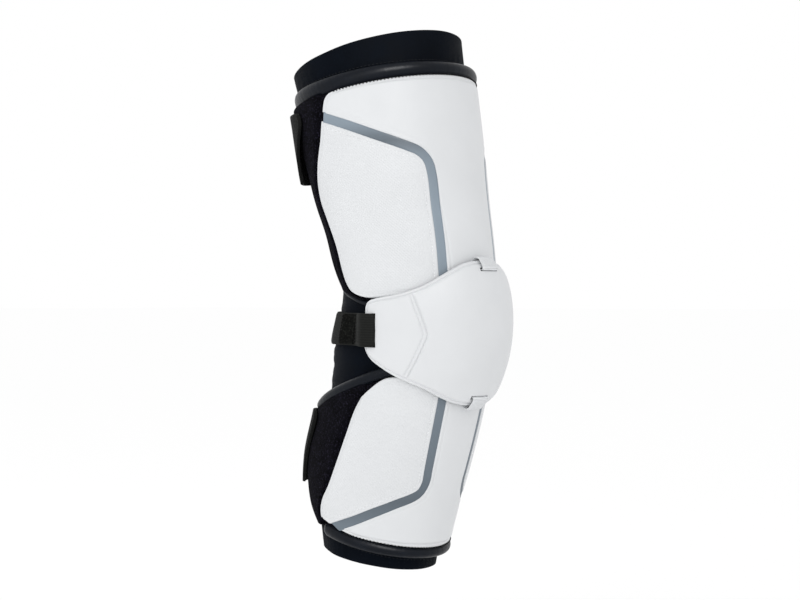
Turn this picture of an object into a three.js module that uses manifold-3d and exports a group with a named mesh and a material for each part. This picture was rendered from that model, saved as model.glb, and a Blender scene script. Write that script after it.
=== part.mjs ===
// Lacrosse arm pad, standing upright in the form that it takes on an arm.
// Millimetres. The origin is the middle of the elbow, +Z runs up to the shoulder,
// -Y is the point of the elbow, and -X is called left.
// Every piece lies on the skin of the arm. A place on it is given by the degrees round
// (0 at the point of the elbow, 90 at the left side), the height, and the distance off the skin.

import * as THREE from 'three';
import { mergeVertices } from 'three/addons/utils/BufferGeometryUtils.js';
import Module from 'manifold-3d';

const wasm = await Module();
wasm.setup();

// Distances off the skin
const GAP = 0.3;
const SEAT = 1; // under a faceted sheet, whose flats dip below its corners
const SIDE_SEAT = 1.4; // the same under a side panel, whose flats are wider
const SLEEVE = 3;
const CUFF = 4;
const WRAP_INSIDE = SLEEVE + 1.2;
const WRAP_UNDER_PANELS = 7.6;
const WRAP_BESIDE_PANELS = 11.2;
const WRAP_AT_REAR_EDGE = 7;
const BAND_FACE = 10.5;
const PANEL_FACE = 12;
const PANEL_EDGE = 11;

// Widths, and how wide a degree of the skin is on the flat plan that the routes are drawn on
const MM_PER_DEGREE = 1.05;
const BAND = 7;
const BINDING = 2;
const STRAP = 2.2;

// The skin of the arm: how far its middle lies to the rear, its half width, and its depth
// from that middle to the front and to the rear
const ARM = [
  { up: -180, middle: 31, half: 37, front: 37, rear: 37 },
  { up: -160, middle: 29.5, half: 37.5, front: 38, rear: 38 },
  { up: -140, middle: 27.5, half: 40, front: 40.5, rear: 40.5 },
  { up: -118, middle: 25, half: 43.5, front: 44, rear: 48.5 },
  { up: -88, middle: 19.5, half: 47.5, front: 48, rear: 52.5 },
  { up: -50, middle: 9, half: 49, front: 48.5, rear: 52 },
  { up: -25, middle: 3, half: 49, front: 48.5, rear: 55 },
  { up: 0, middle: -1.5, half: 49.5, front: 49, rear: 57 },
  { up: 25, middle: -4.5, half: 49, front: 48, rear: 53 },
  { up: 60, middle: -1.5, half: 49.5, front: 48.5, rear: 50 },
  { up: 100, middle: 7.5, half: 52, front: 51.5, rear: 53.5 },
  { up: 140, middle: 16, half: 55, front: 54.5, rear: 59 },
  { up: 176, middle: 23.5, half: 56.5, front: 56.5, rear: 62 },
  { up: 205, middle: 30, half: 58, front: 58, rear: 66.5 },
  { up: 232, middle: 34, half: 59, front: 60, rear: 69 },
];

const cosine = (degrees) => Math.cos(THREE.MathUtils.degToRad(degrees));
const sine = (degrees) => Math.sin(THREE.MathUtils.degToRad(degrees));
const lerp = THREE.MathUtils.lerp;

// Lines that run all round the arm, as heights
const upperRim = (round) => 208.2 + 16.6 * cosine(round);
const upperRoll = (round) => 183.2 + 11.2 * cosine(round);
const lowerRoll = (round) => -141 - 11.7 * cosine(round);
const lowerRim = (round) => -159 - 8 * cosine(round);

// The padded rolls that end the wraps at the shoulder and wrist: half their width and half their
// height, which change from the front to the rear over a range of degrees round
const ROLL_HALF = { front: 4, rear: 4.8, from: 0, to: 120 };
const ROLL_HIGH = { front: 4.4, rear: 2.2, from: 50, to: 140 };
function changing(range, round) {
  const way = (Math.abs(round) - range.from) / (range.to - range.from);
  return lerp(range.front, range.rear, THREE.MathUtils.clamp(way, 0, 1));
}
const rollHalf = (round) => changing(ROLL_HALF, round);
const rollHigh = (round) => changing(ROLL_HIGH, round);

// A smooth curve through [x, y] points with rising x
function smooth(points) {
  const slope = (i) => (points[i + 1][1] - points[i][1]) / (points[i + 1][0] - points[i][0]);
  const step = (i) => points[i + 1][0] - points[i][0];
  const last = points.length - 1;
  const tangent = (i) => {
    if (i === 0) return slope(0);
    if (i === last) return slope(last - 1);
    return (slope(i - 1) * step(i) + slope(i) * step(i - 1)) / (step(i - 1) + step(i));
  };
  return (x) => {
    let i = 0;
    while (i < last - 1 && x > points[i + 1][0]) i += 1;
    const h = step(i);
    const t = (x - points[i][0]) / h;
    const rise = points[i + 1][1] - points[i][1];
    const [m0, m1] = [tangent(i) * h, tangent(i + 1) * h];
    return points[i][1] + t * (m0 + t * (3 * rise - 2 * m0 - m1 + t * (m0 + m1 - 2 * rise)));
  };
}

const armColumn = (name) => smooth(ARM.map((row) => [row.up, row[name]]));
const armMiddle = armColumn('middle');
const armHalf = armColumn('half');
const armFront = armColumn('front');
const armRear = armColumn('rear');

function skin(round, up) {
  const toFront = cosine(round);
  const depth = toFront > 0 ? armFront(up) : armRear(up);
  return new THREE.Vector3(-armHalf(up) * sine(round), armMiddle(up) - depth * toFront, up);
}

const STEP = 0.5; // degrees and mm between the places that give the skin's slope

function place(round, up, off) {
  const point = skin(round, up);
  const across = skin(round + STEP, up).sub(skin(round - STEP, up));
  const along = skin(round, up + STEP).sub(skin(round, up - STEP));
  const normal = along.cross(across).normalize();
  const outward = new THREE.Vector3(point.x, point.y - armMiddle(up), 0);
  if (normal.dot(outward) < 0) normal.negate();
  return point.addScaledVector(normal, off);
}

// Routes on the unrolled skin: functions from 0..1 to [round, up]
function route(points) {
  const spots = points.map(([round, up]) => new THREE.Vector3(round * MM_PER_DEGREE, up, 0));
  const line = new THREE.CatmullRomCurve3(spots, false, 'centripetal');
  return (s) => {
    const spot = line.getPointAt(THREE.MathUtils.clamp(s, 0, 1));
    return [spot.x / MM_PER_DEGREE, spot.y];
  };
}

const level = (height, from, to) => (s) => {
  const round = lerp(from, to, s);
  return [round, height(round)];
};
const stretch = (line, from, to) => (s) => line(lerp(from, to, s));
const mirrored = (line) => (...where) => {
  const [round, up] = line(...where);
  return [-round, up];
};
// The same route, moved so that it ends where end says
const endingAt = (line, end) => (s) => {
  const [round, up] = line(s);
  const [lastRound, lastUp] = line(1);
  return [round + s * (end[0] - lastRound), up + s * (end[1] - lastUp)];
};

const NEARBY = 0.01; // the part of a route between the places that give its direction

// The route that runs beside another, away mm to the left of its direction
const beside = (line, away) => (s) => {
  const back = line(Math.max(0, s - NEARBY));
  const ahead = line(Math.min(1, s + NEARBY));
  const across = (ahead[0] - back[0]) * MM_PER_DEGREE;
  const rise = ahead[1] - back[1];
  const length = Math.hypot(across, rise);
  const [round, up] = line(s);
  return [round - (away * rise) / length / MM_PER_DEGREE, up + (away * across) / length];
};

// A patch stretched between four routes: bottom and top run from left to right,
// left and right run from bottom to top
function patch(bottom, top, left, right) {
  const mix = (k, u, v) => {
    const sides = (1 - v) * bottom(u)[k] + v * top(u)[k] + (1 - u) * left(v)[k] + u * right(v)[k];
    const low = (1 - u) * bottom(0)[k] + u * bottom(1)[k];
    const high = (1 - u) * top(0)[k] + u * top(1)[k];
    return sides - (1 - v) * low - v * high;
  };
  return (u, v) => [mix(0, u, v), mix(1, u, v)];
}

// Solids
function volume(geometry) {
  const at = geometry.attributes.position;
  const index = geometry.index;
  const corner = (i) => new THREE.Vector3().fromBufferAttribute(at, index.getX(i));
  let sum = 0;
  for (let i = 0; i < index.count; i += 3) sum += corner(i).dot(corner(i + 1).cross(corner(i + 2)));
  return sum / 6;
}

function turnedOut(geometry) {
  if (volume(geometry) < 0) {
    const index = geometry.index;
    for (let i = 0; i < index.count; i += 3) {
      const second = index.getX(i + 1);
      index.setX(i + 1, index.getX(i + 2));
      index.setX(i + 2, second);
    }
  }
  geometry.computeVertexNormals();
  return geometry;
}

const MERGED = 1e-4; // mm apart, corners become one

// Moves every corner of a plain closed shape to the place that where gives
function bent(geometry, where) {
  geometry.deleteAttribute('normal');
  geometry.deleteAttribute('uv');
  geometry.clearGroups();
  const at = geometry.attributes.position;
  for (let i = 0; i < at.count; i += 1) {
    const spot = where(at.getX(i), at.getY(i), at.getZ(i));
    at.setXYZ(i, spot.x, spot.y, spot.z);
  }
  return turnedOut(mergeVertices(geometry, MERGED));
}

const EVEN = { u: (t) => t, v: (t) => t };

// A sheet over a patch: off(u, v, face) is its distance off the skin, with face 0 inside, 1 outside
function sheet(area, off, columns, rows, spread = EVEN) {
  const block = new THREE.BoxGeometry(1, 1, 1, columns, rows, 1);
  return bent(block, (x, y, z) => {
    const u = spread.u(THREE.MathUtils.clamp(x + 0.5, 0, 1));
    const v = spread.v(THREE.MathUtils.clamp(y + 0.5, 0, 1));
    const [round, up] = area(u, v);
    return place(round, up, off(u, v, z > 0 ? 1 : 0));
  });
}

// A closed ring round the arm from one height line to another; profile rows are
// [off, part of the way up]
function ring(profile, low, high, sides) {
  const base = 100;
  const spots = [...profile, profile[0]].map(([off, way]) => new THREE.Vector2(base + off, way));
  return bent(new THREE.LatheGeometry(spots, sides), (x, y, z) => {
    const round = THREE.MathUtils.radToDeg(Math.atan2(x, z));
    return place(round, lerp(low(round), high(round), y), Math.hypot(x, z) - base);
  });
}

// An oval tube along a route, inside mm off the skin at its lowest: across and high give its
// half width and half height at each number of degrees round
function tube(line, inside, across, high, steps, sides) {
  const rod = new THREE.CylinderGeometry(1, 1, 1, sides, steps);
  return bent(rod, (x, y, z) => {
    const s = y + 0.5;
    const middle = line(s)[0];
    const [round, up] = beside(line, x * across(middle))(s);
    return place(round, up, inside + (1 + z) * high(middle));
  });
}

const FINE = 1200; // the pieces that a strip's line is measured in

// A strip of webbing along a line drawn in [across, off] mm; where places a corner from its part
// of the breadth, across and off
function strip(spots, thick, steps, breadth, where) {
  const corners = spots.map(([x, off]) => new THREE.Vector3(x, off, 0));
  const line = new THREE.CatmullRomCurve3(corners, false, 'centripetal');
  line.arcLengthDivisions = FINE;
  return bent(new THREE.BoxGeometry(1, 1, 1, breadth, steps, 1), (x, y, z) => {
    const s = THREE.MathUtils.clamp(y + 0.5, 0, 1);
    const spot = line.getPointAt(s);
    const way = line.getTangentAt(s);
    return where(x, spot.x - way.y * z * thick, spot.y + way.x * z * thick);
  });
}

function toManifold(geometry) {
  const vertProperties = new Float32Array(geometry.attributes.position.array);
  const triVerts = new Uint32Array(geometry.index.array);
  return new wasm.Manifold(new wasm.Mesh({ numProp: 3, vertProperties, triVerts }));
}

function cut(geometry, cutters) {
  let solid = toManifold(geometry);
  for (const cutter of cutters) solid = solid.subtract(toManifold(cutter));
  const mesh = solid.getMesh();
  const result = new THREE.BufferGeometry();
  result.setAttribute('position', new THREE.BufferAttribute(mesh.vertProperties, 3));
  result.setIndex(new THREE.BufferAttribute(mesh.triVerts, 1));
  return turnedOut(result);
}

// Looks
const METALNESS = 0;
const look = (color, roughness) => () =>
  new THREE.MeshStandardMaterial({ color, roughness, metalness: METALNESS });
const neoprene = look(0x14171e, 0.75);
const cuffKnit = look(0x101319, 0.8);
const loopFabric = look(0x0c0c12, 0.95);
const binding = look(0x1c1f26, 0.6);
const shell = look(0xe9ecf0, 0.45);
const texturedShell = look(0xe6e9ee, 0.55);
const greyFilm = look(0x7f8a96, 0.35);
const webbing = look(0x15161a, 0.85);

const armPad = new THREE.Group();

function add(name, geometry, material) {
  const mesh = new THREE.Mesh(geometry, material());
  mesh.name = name;
  armPad.add(mesh);
}

function addPair(name, make, material) {
  add(`${name}_left`, make((line) => line), material);
  add(`${name}_right`, make(mirrored), material);
}

// Sleeve and cuffs
const CUFF_TUCK = 3.5;
const upperSeam = (round) => upperRoll(round) + CUFF_TUCK;
const lowerSeam = (round) => lowerRoll(round) - CUFF_TUCK;
const SIDES = 32;

function innerSleeve() {
  const rows = 12;
  const inside = Array.from({ length: rows + 1 }, (_, i) => [0, i / rows]);
  const outside = Array.from({ length: rows + 1 }, (_, i) => [SLEEVE, 1 - i / rows]);
  return ring([...inside, ...outside], lowerSeam, upperSeam, SIDES);
}

function cuff(seam, rim) {
  const turn = 0.06; // the part of the height that its rim's rounded edges take
  const bevel = 0.9;
  const profile = [[0, 0], [0, 1 - turn], [bevel, 1], [CUFF - bevel, 1], [CUFF, 1 - turn], [CUFF, 0]];
  return ring(profile, seam, rim, SIDES);
}

add('inner_sleeve', innerSleeve(), neoprene);
add('upper_cuff', cuff((round) => upperSeam(round) + GAP, upperRim), cuffKnit);
add('lower_cuff', cuff((round) => lowerSeam(round) - GAP, lowerRim), cuffKnit);

// Wraps: the foam body of each pad, thin under the panels and full beside them
const upperWrapTop = (round) => upperRoll(round) - rollHalf(round) - GAP;
const lowerWrapFoot = (round) => lowerRoll(round) + rollHalf(round) + GAP;
const ELBOW_ROLL = [
  [-30, -16], [0, -16], [40, -17], [64, -20], [75, -24], [87, -29], [100, -34.5], [118, -42], [141, -52],
];
const ELBOW_ROLL_HALF = 4.2;
const ELBOW_ROLL_HIGH = 4.3;
const ELBOW_ROLL_CLEAR = 2.5 * GAP; // its facets come nearer to the wrap than its route does
const leftElbowRoll = smooth(ELBOW_ROLL);
const elbowRoll = (round) => leftElbowRoll(Math.abs(round));
const lowerWrapTop = (round) => elbowRoll(round) - ELBOW_ROLL_HALF - ELBOW_ROLL_CLEAR;
const onLine = (line, round) => [round, line(round)];
const UPPER_REAR_EDGE = [
  [115, 39], [119.8, 46], [125.5, 57], [133.5, 74], [141, 100], [147, 125], [151, 150],
  onLine(upperWrapTop, 152),
];
const UPPER_BOTTOM_EDGE = [[115, 39], [103, 33.5], [88, 29], [45, 26.5], [0, 26]];
const UPPER_PANEL_EDGE = [
  [88, 29], [96, 32], [102.5, 36], [107, 41.5], [110, 48], [112.5, 57], [115, 72], [118.8, 90], [121.3, 102],
  [119.2, 114], [113.8, 126], [105, 143], [100, 158], [96, 168], onLine(upperWrapTop, 92),
];
const LOWER_REAR_EDGE = [
  onLine(lowerWrapFoot, 120), [127.5, -124], [135, -115], [139, -103], [141, -88], [141, -74],
  onLine(lowerWrapTop, 139),
];
const LOWER_PANEL_EDGE = [
  onLine(lowerWrapFoot, 108.5), [110, -123], [107, -114], [100, -103], [93.5, -86], [89.5, -68],
  [86.5, -51], [83, -41], onLine(lowerWrapTop, 77),
];

// Across a wrap: the part of the way through the side wing where each column of the mesh lies,
// from the rear edge to the panel, and how far its face stands off the skin there
const WING_COLUMNS = [
  { way: 0, face: WRAP_AT_REAR_EDGE },
  { way: 0.1, face: 10 },
  { way: 0.35, face: WRAP_BESIDE_PANELS },
  { way: 0.65, face: WRAP_BESIDE_PANELS },
  { way: 0.9, face: WRAP_BESIDE_PANELS - 0.4 },
  { way: 1, face: WRAP_UNDER_PANELS },
];
const WRAP_COLUMNS = 22; // under the panels
const UPPER_WRAP_ROWS = 9;
const LOWER_WRAP_ROWS = 8;

function wrap(rear, edge, bottomWing, bottom, top, rows) {
  const wingTop = level(top, rear(1)[0], edge(1)[0]);
  const leftWing = patch(bottomWing, wingTop, rear, edge);
  const middle = patch(bottom, level(top, edge(1)[0], -edge(1)[0]), edge, mirrored(edge));
  const wings = WING_COLUMNS.length - 1;
  const columns = WRAP_COLUMNS + 2 * wings;
  const area = (u, v) => {
    const column = Math.round(u * columns);
    const mirror = column > columns / 2;
    const fromEdge = mirror ? columns - column : column;
    if (fromEdge >= wings) return middle((column - wings) / WRAP_COLUMNS, v);
    const [round, up] = leftWing(WING_COLUMNS[fromEdge].way, v);
    return [mirror ? -round : round, up];
  };
  const off = (u, v, face) => {
    const column = Math.round(u * columns);
    const fromEdge = Math.min(column, columns - column);
    const outer = fromEdge >= wings ? WRAP_UNDER_PANELS : WING_COLUMNS[fromEdge].face;
    return face ? outer : WRAP_INSIDE;
  };
  return sheet(area, off, columns, rows);
}

function upperWrap() {
  const bottomLeft = UPPER_BOTTOM_EDGE.slice(2);
  const bottomRight = bottomLeft.slice(0, -1).reverse().map(([round, up]) => [-round, up]);
  const bottom = route([...bottomLeft, ...bottomRight]);
  const bottomWing = route(UPPER_BOTTOM_EDGE.slice(0, 3));
  const [rear, edge] = [route(UPPER_REAR_EDGE), route(UPPER_PANEL_EDGE)];
  return wrap(rear, edge, bottomWing, bottom, upperWrapTop, UPPER_WRAP_ROWS);
}

function lowerWrap() {
  const edge = route(LOWER_PANEL_EDGE);
  const rear = route(LOWER_REAR_EDGE);
  const wingFoot = level(lowerWrapFoot, rear(0)[0], edge(0)[0]);
  const foot = level(lowerWrapFoot, edge(0)[0], -edge(0)[0]);
  return wrap(rear, edge, wingFoot, foot, lowerWrapTop, LOWER_WRAP_ROWS);
}

add('upper_wrap', upperWrap(), loopFabric);
add('lower_wrap', lowerWrap(), loopFabric);

// Rolls that end the wraps at the shoulder, at the elbow and at the wrist: how many degrees they
// reach to each side, and how many steps they are made in
const SHOULDER_ROLL = { reach: 152, steps: 28 };
const ELBOW_ROLL_RUN = { reach: 138, steps: 26 };
const WRIST_ROLL = { reach: 112, steps: 22 };
const ROLL_SIDES = 8;

function endRoll(line, { reach, steps }, half, high) {
  return tube(level(line, -reach, reach), SLEEVE + SEAT, half, high, steps, ROLL_SIDES);
}

const elbowHalf = () => ELBOW_ROLL_HALF;
const elbowHigh = () => ELBOW_ROLL_HIGH;
add('upper_end_roll', endRoll(upperRoll, SHOULDER_ROLL, rollHalf, rollHigh), binding);
add('lower_end_roll', endRoll(lowerRoll, WRIST_ROLL, rollHalf, rollHigh), binding);
add('elbow_end_roll', endRoll(elbowRoll, ELBOW_ROLL_RUN, elbowHalf, elbowHigh), binding);

// Bindings along the rear edges of the wraps: which part of the edge they cover, and their steps
const BINDING_BESIDE = BINDING + 2.5 * GAP;
const BINDING_SIDES = 6;
const UPPER_BINDING = { from: 0, to: 0.97, steps: 24 };
const LOWER_BINDING = { from: 0.03, to: 0.98, steps: 10 };
const thin = () => BINDING;

function edgeBinding(edge, { from, to, steps }, turn) {
  const line = stretch(beside(route(edge), -BINDING_BESIDE), from, to);
  return tube(turn(line), SLEEVE + SEAT, thin, thin, steps, BINDING_SIDES);
}

function upperBinding(turn) {
  const edge = [...UPPER_BOTTOM_EDGE.slice(1, 4).reverse(), ...UPPER_REAR_EDGE];
  return edgeBinding(edge, UPPER_BINDING, turn);
}

function lowerBinding(turn) {
  return edgeBinding(LOWER_REAR_EDGE, LOWER_BINDING, turn);
}

addPair('upper_binding', upperBinding, binding);
addPair('lower_binding', lowerBinding, binding);

// Grey bands: each route is the middle line of a left band
const UPPER_BAND = [
  [30, 33], [30, 50], [29.5, 72], [29, 95], [28.5, 117], [30, 127], [35, 134], [43.5, 138.5],
  [59, 145.5], [79.5, 155], [96.5, 162],
];
const LOWER_BAND = [
  [23, -28], [23, -40], [23, -54], [22.7, -69], [22.2, -89], [22.2, -99], [26, -106.5], [44, -115],
  [60, -121.7], [73.5, -127.3], [88, -132.2],
];
const upperBand = route(UPPER_BAND);
const lowerBand = route(LOWER_BAND);
const PANEL_BESIDE = BAND / 2 + 0.4;
const PANEL_INSET = 1.8;
const UPPER_SIDE_SPAN = [0.08, 0.86]; // the parts of the wraps' panel edges beside the side panels
const LOWER_SIDE_SPAN = [0.05, 0.9];
const UPPER_FRONT_COLUMNS = 18;
const LOWER_FRONT_COLUMNS = 16;

// How far along a band its cross lines lie: few on the straight stretch, close at the bend.
// The panels beside it have their cross lines at the same places.
const UPPER_STEPS = [0, 0.12, 0.24, 0.36, 0.47, 0.52, 0.56, 0.6, 0.65, 0.72, 0.79, 0.86, 0.93, 1];
const LOWER_STEPS = [0, 0.12, 0.24, 0.36, 0.47, 0.52, 0.57, 0.64, 0.72, 0.8, 0.9, 1];
const UPPER_BEND = UPPER_STEPS.indexOf(0.56);
const LOWER_BEND = LOWER_STEPS.indexOf(0.52);
const evenSteps = (count) => Array.from({ length: count + 1 }, (_, i) => i / count);
const stepped = (steps) => (t) => steps[Math.round(t * (steps.length - 1))];
// The same cross lines as parts of the stretch between two of them
function within(steps, from, to) {
  const span = steps[to] - steps[from];
  return steps.slice(from, to + 1).map((step) => (step - steps[from]) / span);
}
const turnedRound = (steps) => steps.map((step) => 1 - step).reverse();

const panelOff = (seat) => (u, v, face) => {
  if (!face) return WRAP_UNDER_PANELS + seat;
  const onEdge = [u, v].some((part) => part <= 0 || part >= 1);
  return onEdge ? PANEL_EDGE : PANEL_FACE;
};

function band(line, steps) {
  const area = (u, v) => beside(line, lerp(BAND / 2, -BAND / 2, u))(v);
  const off = (u, v, face) => (face ? BAND_FACE : WRAP_UNDER_PANELS + SEAT);
  return sheet(area, off, 1, steps.length - 1, { ...EVEN, v: stepped(steps) });
}

addPair('upper_band', (turn) => band(turn(upperBand), UPPER_STEPS), greyFilm);
addPair('lower_band', (turn) => band(turn(lowerBand), LOWER_STEPS), greyFilm);

// Panels
const upperPanelTop = (round) => upperWrapTop(round) - 0.5;
const UPPER_PANEL_TOP = [
  [91.5, 172.5], [88.5, 176], ...[84, 71, 57, 40, 20, 0].map((round) => onLine(upperPanelTop, round)),
];

function symmetric(points) {
  const others = points.slice(0, -1).reverse().map(([round, up]) => [-round, up]);
  return route([...points, ...others]);
}

function panel(area, seat, columns, rows) {
  const spread = { u: stepped(columns), v: stepped(rows) };
  return sheet(area, panelOff(seat), columns.length - 1, rows.length - 1, spread);
}

function upperFrontPanel() {
  const left = beside(upperBand, PANEL_BESIDE);
  const bottom = (s) => [lerp(left(0)[0], -left(0)[0], s), left(0)[1]];
  const top = symmetric([left(1), ...UPPER_PANEL_TOP]);
  const area = patch(bottom, top, left, mirrored(left));
  return panel(area, SEAT, evenSteps(UPPER_FRONT_COLUMNS), UPPER_STEPS);
}

function upperSidePanel(turn) {
  const inner = beside(upperBand, -PANEL_BESIDE);
  const edge = beside(route(UPPER_PANEL_EDGE), PANEL_INSET);
  const rear = endingAt(stretch(edge, ...UPPER_SIDE_SPAN), inner(1));
  const bottom = route([inner(0), [60, 32], [82, 30.8], [90, 31.8], rear(0)]);
  const bend = UPPER_STEPS[UPPER_BEND];
  const area = patch(bottom, stretch(inner, bend, 1), stretch(inner, 0, bend), rear);
  const columns = within(UPPER_STEPS, UPPER_BEND, UPPER_STEPS.length - 1);
  const rows = within(UPPER_STEPS, 0, UPPER_BEND);
  return panel(turn(area), SIDE_SEAT, columns, rows);
}

function lowerFrontPanel() {
  const left = beside(lowerBand, -PANEL_BESIDE);
  const up = (s) => left(1 - s);
  const foot = [74, 55, 35, 18, 0].map((round) => onLine(lowerWrapFoot, round));
  const bottom = symmetric([up(0), ...foot]);
  const top = (s) => [lerp(up(1)[0], -up(1)[0], s), up(1)[1]];
  const area = patch(bottom, top, up, mirrored(up));
  return panel(area, SEAT, evenSteps(LOWER_FRONT_COLUMNS), turnedRound(LOWER_STEPS));
}

// How much of the lower side panel's foot runs along the band, before it passes its end
const LOWER_SIDE_SPLIT = 0.72;

function lowerSidePanel(turn) {
  const inner = beside(lowerBand, PANEL_BESIDE);
  const rear = stretch(beside(route(LOWER_PANEL_EDGE), PANEL_INSET), ...LOWER_SIDE_SPAN);
  const top = route([inner(0), [45, -23], [58, -23.8], [67, -26], rear(1)]);
  const bend = LOWER_STEPS[LOWER_BEND];
  const end = inner(1);
  const alongBand = (u) => inner(lerp(bend, 1, u / LOWER_SIDE_SPLIT));
  const pastBand = route([end, [94.5, -130.8], [100, -130.3], rear(0)]);
  const beyond = (u) => pastBand((u - LOWER_SIDE_SPLIT) / (1 - LOWER_SIDE_SPLIT));
  const bottom = (u) => (u <= LOWER_SIDE_SPLIT ? alongBand(u) : beyond(u));
  const area = patch(bottom, top, (s) => inner(lerp(bend, 0, s)), rear);
  const alongIt = within(LOWER_STEPS, LOWER_BEND, LOWER_STEPS.length - 1);
  const columns = [...alongIt.map((step) => step * LOWER_SIDE_SPLIT), (1 + LOWER_SIDE_SPLIT) / 2, 1];
  const rows = turnedRound(within(LOWER_STEPS, 0, LOWER_BEND));
  return panel(turn(area), SIDE_SEAT, columns, rows);
}

add('upper_front_panel', upperFrontPanel(), shell);
addPair('upper_side_panel', upperSidePanel, texturedShell);
add('lower_front_panel', lowerFrontPanel(), shell);
addPair('lower_side_panel', lowerSidePanel, texturedShell);

// Elbow cap: a domed shell, open inside, with a wing at each side
const CAP_TOP = [
  [84, 28.5], [77, 30.5], [59, 34], [44, 39.5], [34, 45], [24, 50.5], [15, 54.3], [0, 56],
];
const CAP_FOOT = [
  [80.5, -9], [75, -13], [63, -20.5], [54, -25], [38, -31.5], [28, -36.5], [16, -40.8], [0, -42.5],
];
const CAP_END = [[80.5, -9], [82, -3], [83.3, 10], [84.2, 22], [84, 28.5]];
const CAP = { wall: 3.2, edge: 16, frontEdge: 17.6, dome: 8.6, spread: 88 };
const CAP_COLUMNS = 20;
const CAP_ROWS = 9;
const capArea = patch(symmetric(CAP_FOOT), symmetric(CAP_TOP), route(CAP_END), mirrored(route(CAP_END)));
const capTop = capArea(0.5, 1)[1];
const capFoot = capArea(0.5, 0)[1];

function capFace(round, v) {
  const front = Math.max(0, cosine((round * 90) / CAP.spread));
  const edge = lerp(CAP.edge, CAP.frontEdge, front * front);
  return edge + CAP.dome * front ** 1.2 * Math.sqrt(Math.max(0, Math.sin(Math.PI * v)));
}

const SIDE_SLOT = { from: 74.3, to: 76.9, low: -4.6, high: 20.4 };
const LOOP = { reach: 7, slotReach: 7.8, slotNear: 5.7, slotFar: 8.2, thick: 1.4, steps: 14 };

// A block between two numbers of degrees round, two heights and two distances off the skin
function block(round, up, off) {
  const box = new THREE.BoxGeometry(1, 1, 1, 4, 1, 1);
  const between = (range, t) => lerp(range[0], range[1], t + 0.5);
  return bent(box, (x, y, z) => place(between(round, x), between(up, y), between(off, z)));
}

function elbowCap() {
  const dense = (t) => (1 - Math.cos(Math.PI * t)) / 2;
  const off = (u, v, face) => {
    const outer = capFace(capArea(u, v)[0], v);
    return face ? outer : outer - CAP.wall;
  };
  const dome = sheet(capArea, off, CAP_COLUMNS, CAP_ROWS, { ...EVEN, v: dense });
  const through = [8, 32];
  const sideSlot = (sign) =>
    block([sign * SIDE_SLOT.from, sign * SIDE_SLOT.to], [SIDE_SLOT.low, SIDE_SLOT.high], through);
  const loopSlot = (edge, inward) => {
    const heights = [edge + inward * LOOP.slotNear, edge + inward * LOOP.slotFar];
    return block([-LOOP.slotReach, LOOP.slotReach], heights, through);
  };
  return cut(dome, [sideSlot(1), sideSlot(-1), loopSlot(capTop, -1), loopSlot(capFoot, 1)]);
}

add('elbow_cap', elbowCap(), shell);

// Loops that hold the cap's top and foot: each comes from under the cap, turns over its edge
// and goes down its slot. Rows are how far inward from the edge, and how far off the skin.
const LOOP_PATH = [
  { inward: 12, off: 13 },
  { inward: 4, off: 13 },
  { inward: 0, off: 13.4 },
  { inward: -1.6, off: 15 },
  { inward: -1.7, off: 18 },
  { inward: -0.2, off: 20 },
  { inward: 2.5, off: 21.6 },
  { inward: 5.2, off: 22.9 },
  { inward: 6.9, off: 22.6 },
  { inward: 7, off: 20.4 },
  { inward: 7, off: 18.4 },
];

function capLoop(edge, inwardSign) {
  const spots = LOOP_PATH.map((row) => [row.inward, row.off]);
  return strip(spots, LOOP.thick, LOOP.steps, 1, (x, inward, off) =>
    place(2 * x * LOOP.reach, edge + inwardSign * inward, off));
}

add('cap_loop_upper', capLoop(capTop, -1), shell);
add('cap_loop_lower', capLoop(capFoot, 1), shell);

// Elbow strap: webbing sewn on itself, that turns over the bar at each end of the cap, comes up
// through the side slot and goes round the rear. Rows are degrees round and distance off the skin
// of its middle, from the sewn end to the rear.
const WEBBING = { thick: 1.8, low: -4, high: 19.8, off: 5, steps: 76, mmPerDegree: 1.12 };
const REAR_SPOTS = { from: 100, to: 260, count: 17 };
const BAR_TURN = [
  [123.5, 7.4], [112, 7.4], [101, 7.6], [94.5, 9.2], [90, 12.6], [87, 16.2], [83.5, 18.5], [78.3, 18.9],
  [75.7, 18.2], [75.4, 16], [75.5, 13.4], [76.7, 11.8], [80, 11.3], [84.5, 10.4], [89, 7.6], [94.5, 5.6],
];

function elbowStrap() {
  const { thick, low, high, off, steps, mmPerDegree } = WEBBING;
  const rear = Array.from({ length: REAR_SPOTS.count }, (_, i) => {
    const round = lerp(REAR_SPOTS.from, REAR_SPOTS.to, i / (REAR_SPOTS.count - 1));
    return [round, off];
  });
  const otherTurn = BAR_TURN.map(([round, outward]) => [360 - round, outward]).reverse();
  const rows = [...BAR_TURN, ...rear, ...otherTurn];
  const spots = rows.map(([round, outward]) => [round * mmPerDegree, outward]);
  const where = (x, across, outward) => place(across / mmPerDegree, lerp(low, high, x + 0.5), outward);
  return strip(spots, thick, steps, 1, where);
}

add('elbow_strap', elbowStrap(), webbing);

// Wide straps: each starts on a pad's left side as a hook tab, crosses the gap at the rear and is
// sewn to the right side, end degrees round. Their tabs' edges are rows of degrees round and
// height. The tab of the upper strap stands off the pad at its foot.
const UPPER_STRAP = {
  tab: [[139, 119], [132, 130], [120, 148], [113, 159], [116, 165], [122, 167]],
  end: 229,
  stand: 4,
};
const LOWER_STRAP = {
  tab: [[138, -105], [134, -101], [132, -90], [130, -74], [129.5, -62], [131, -55.5], [136, -53]],
  end: 228,
  stand: 0,
};
const STRAP_COLUMNS = 16;
const STRAP_ROWS = 4;

// How far off the skin a strap lies: rows of degrees round and mm
const strapLieLeft = smooth([
  [100, 12], [140, 12], [148, 11.6], [157, 8.8], [165, 6.5], [173, 4.8], [180, 4.2],
]);
const strapLie = (round) => strapLieLeft(round > 180 ? 360 - round : round);

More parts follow.
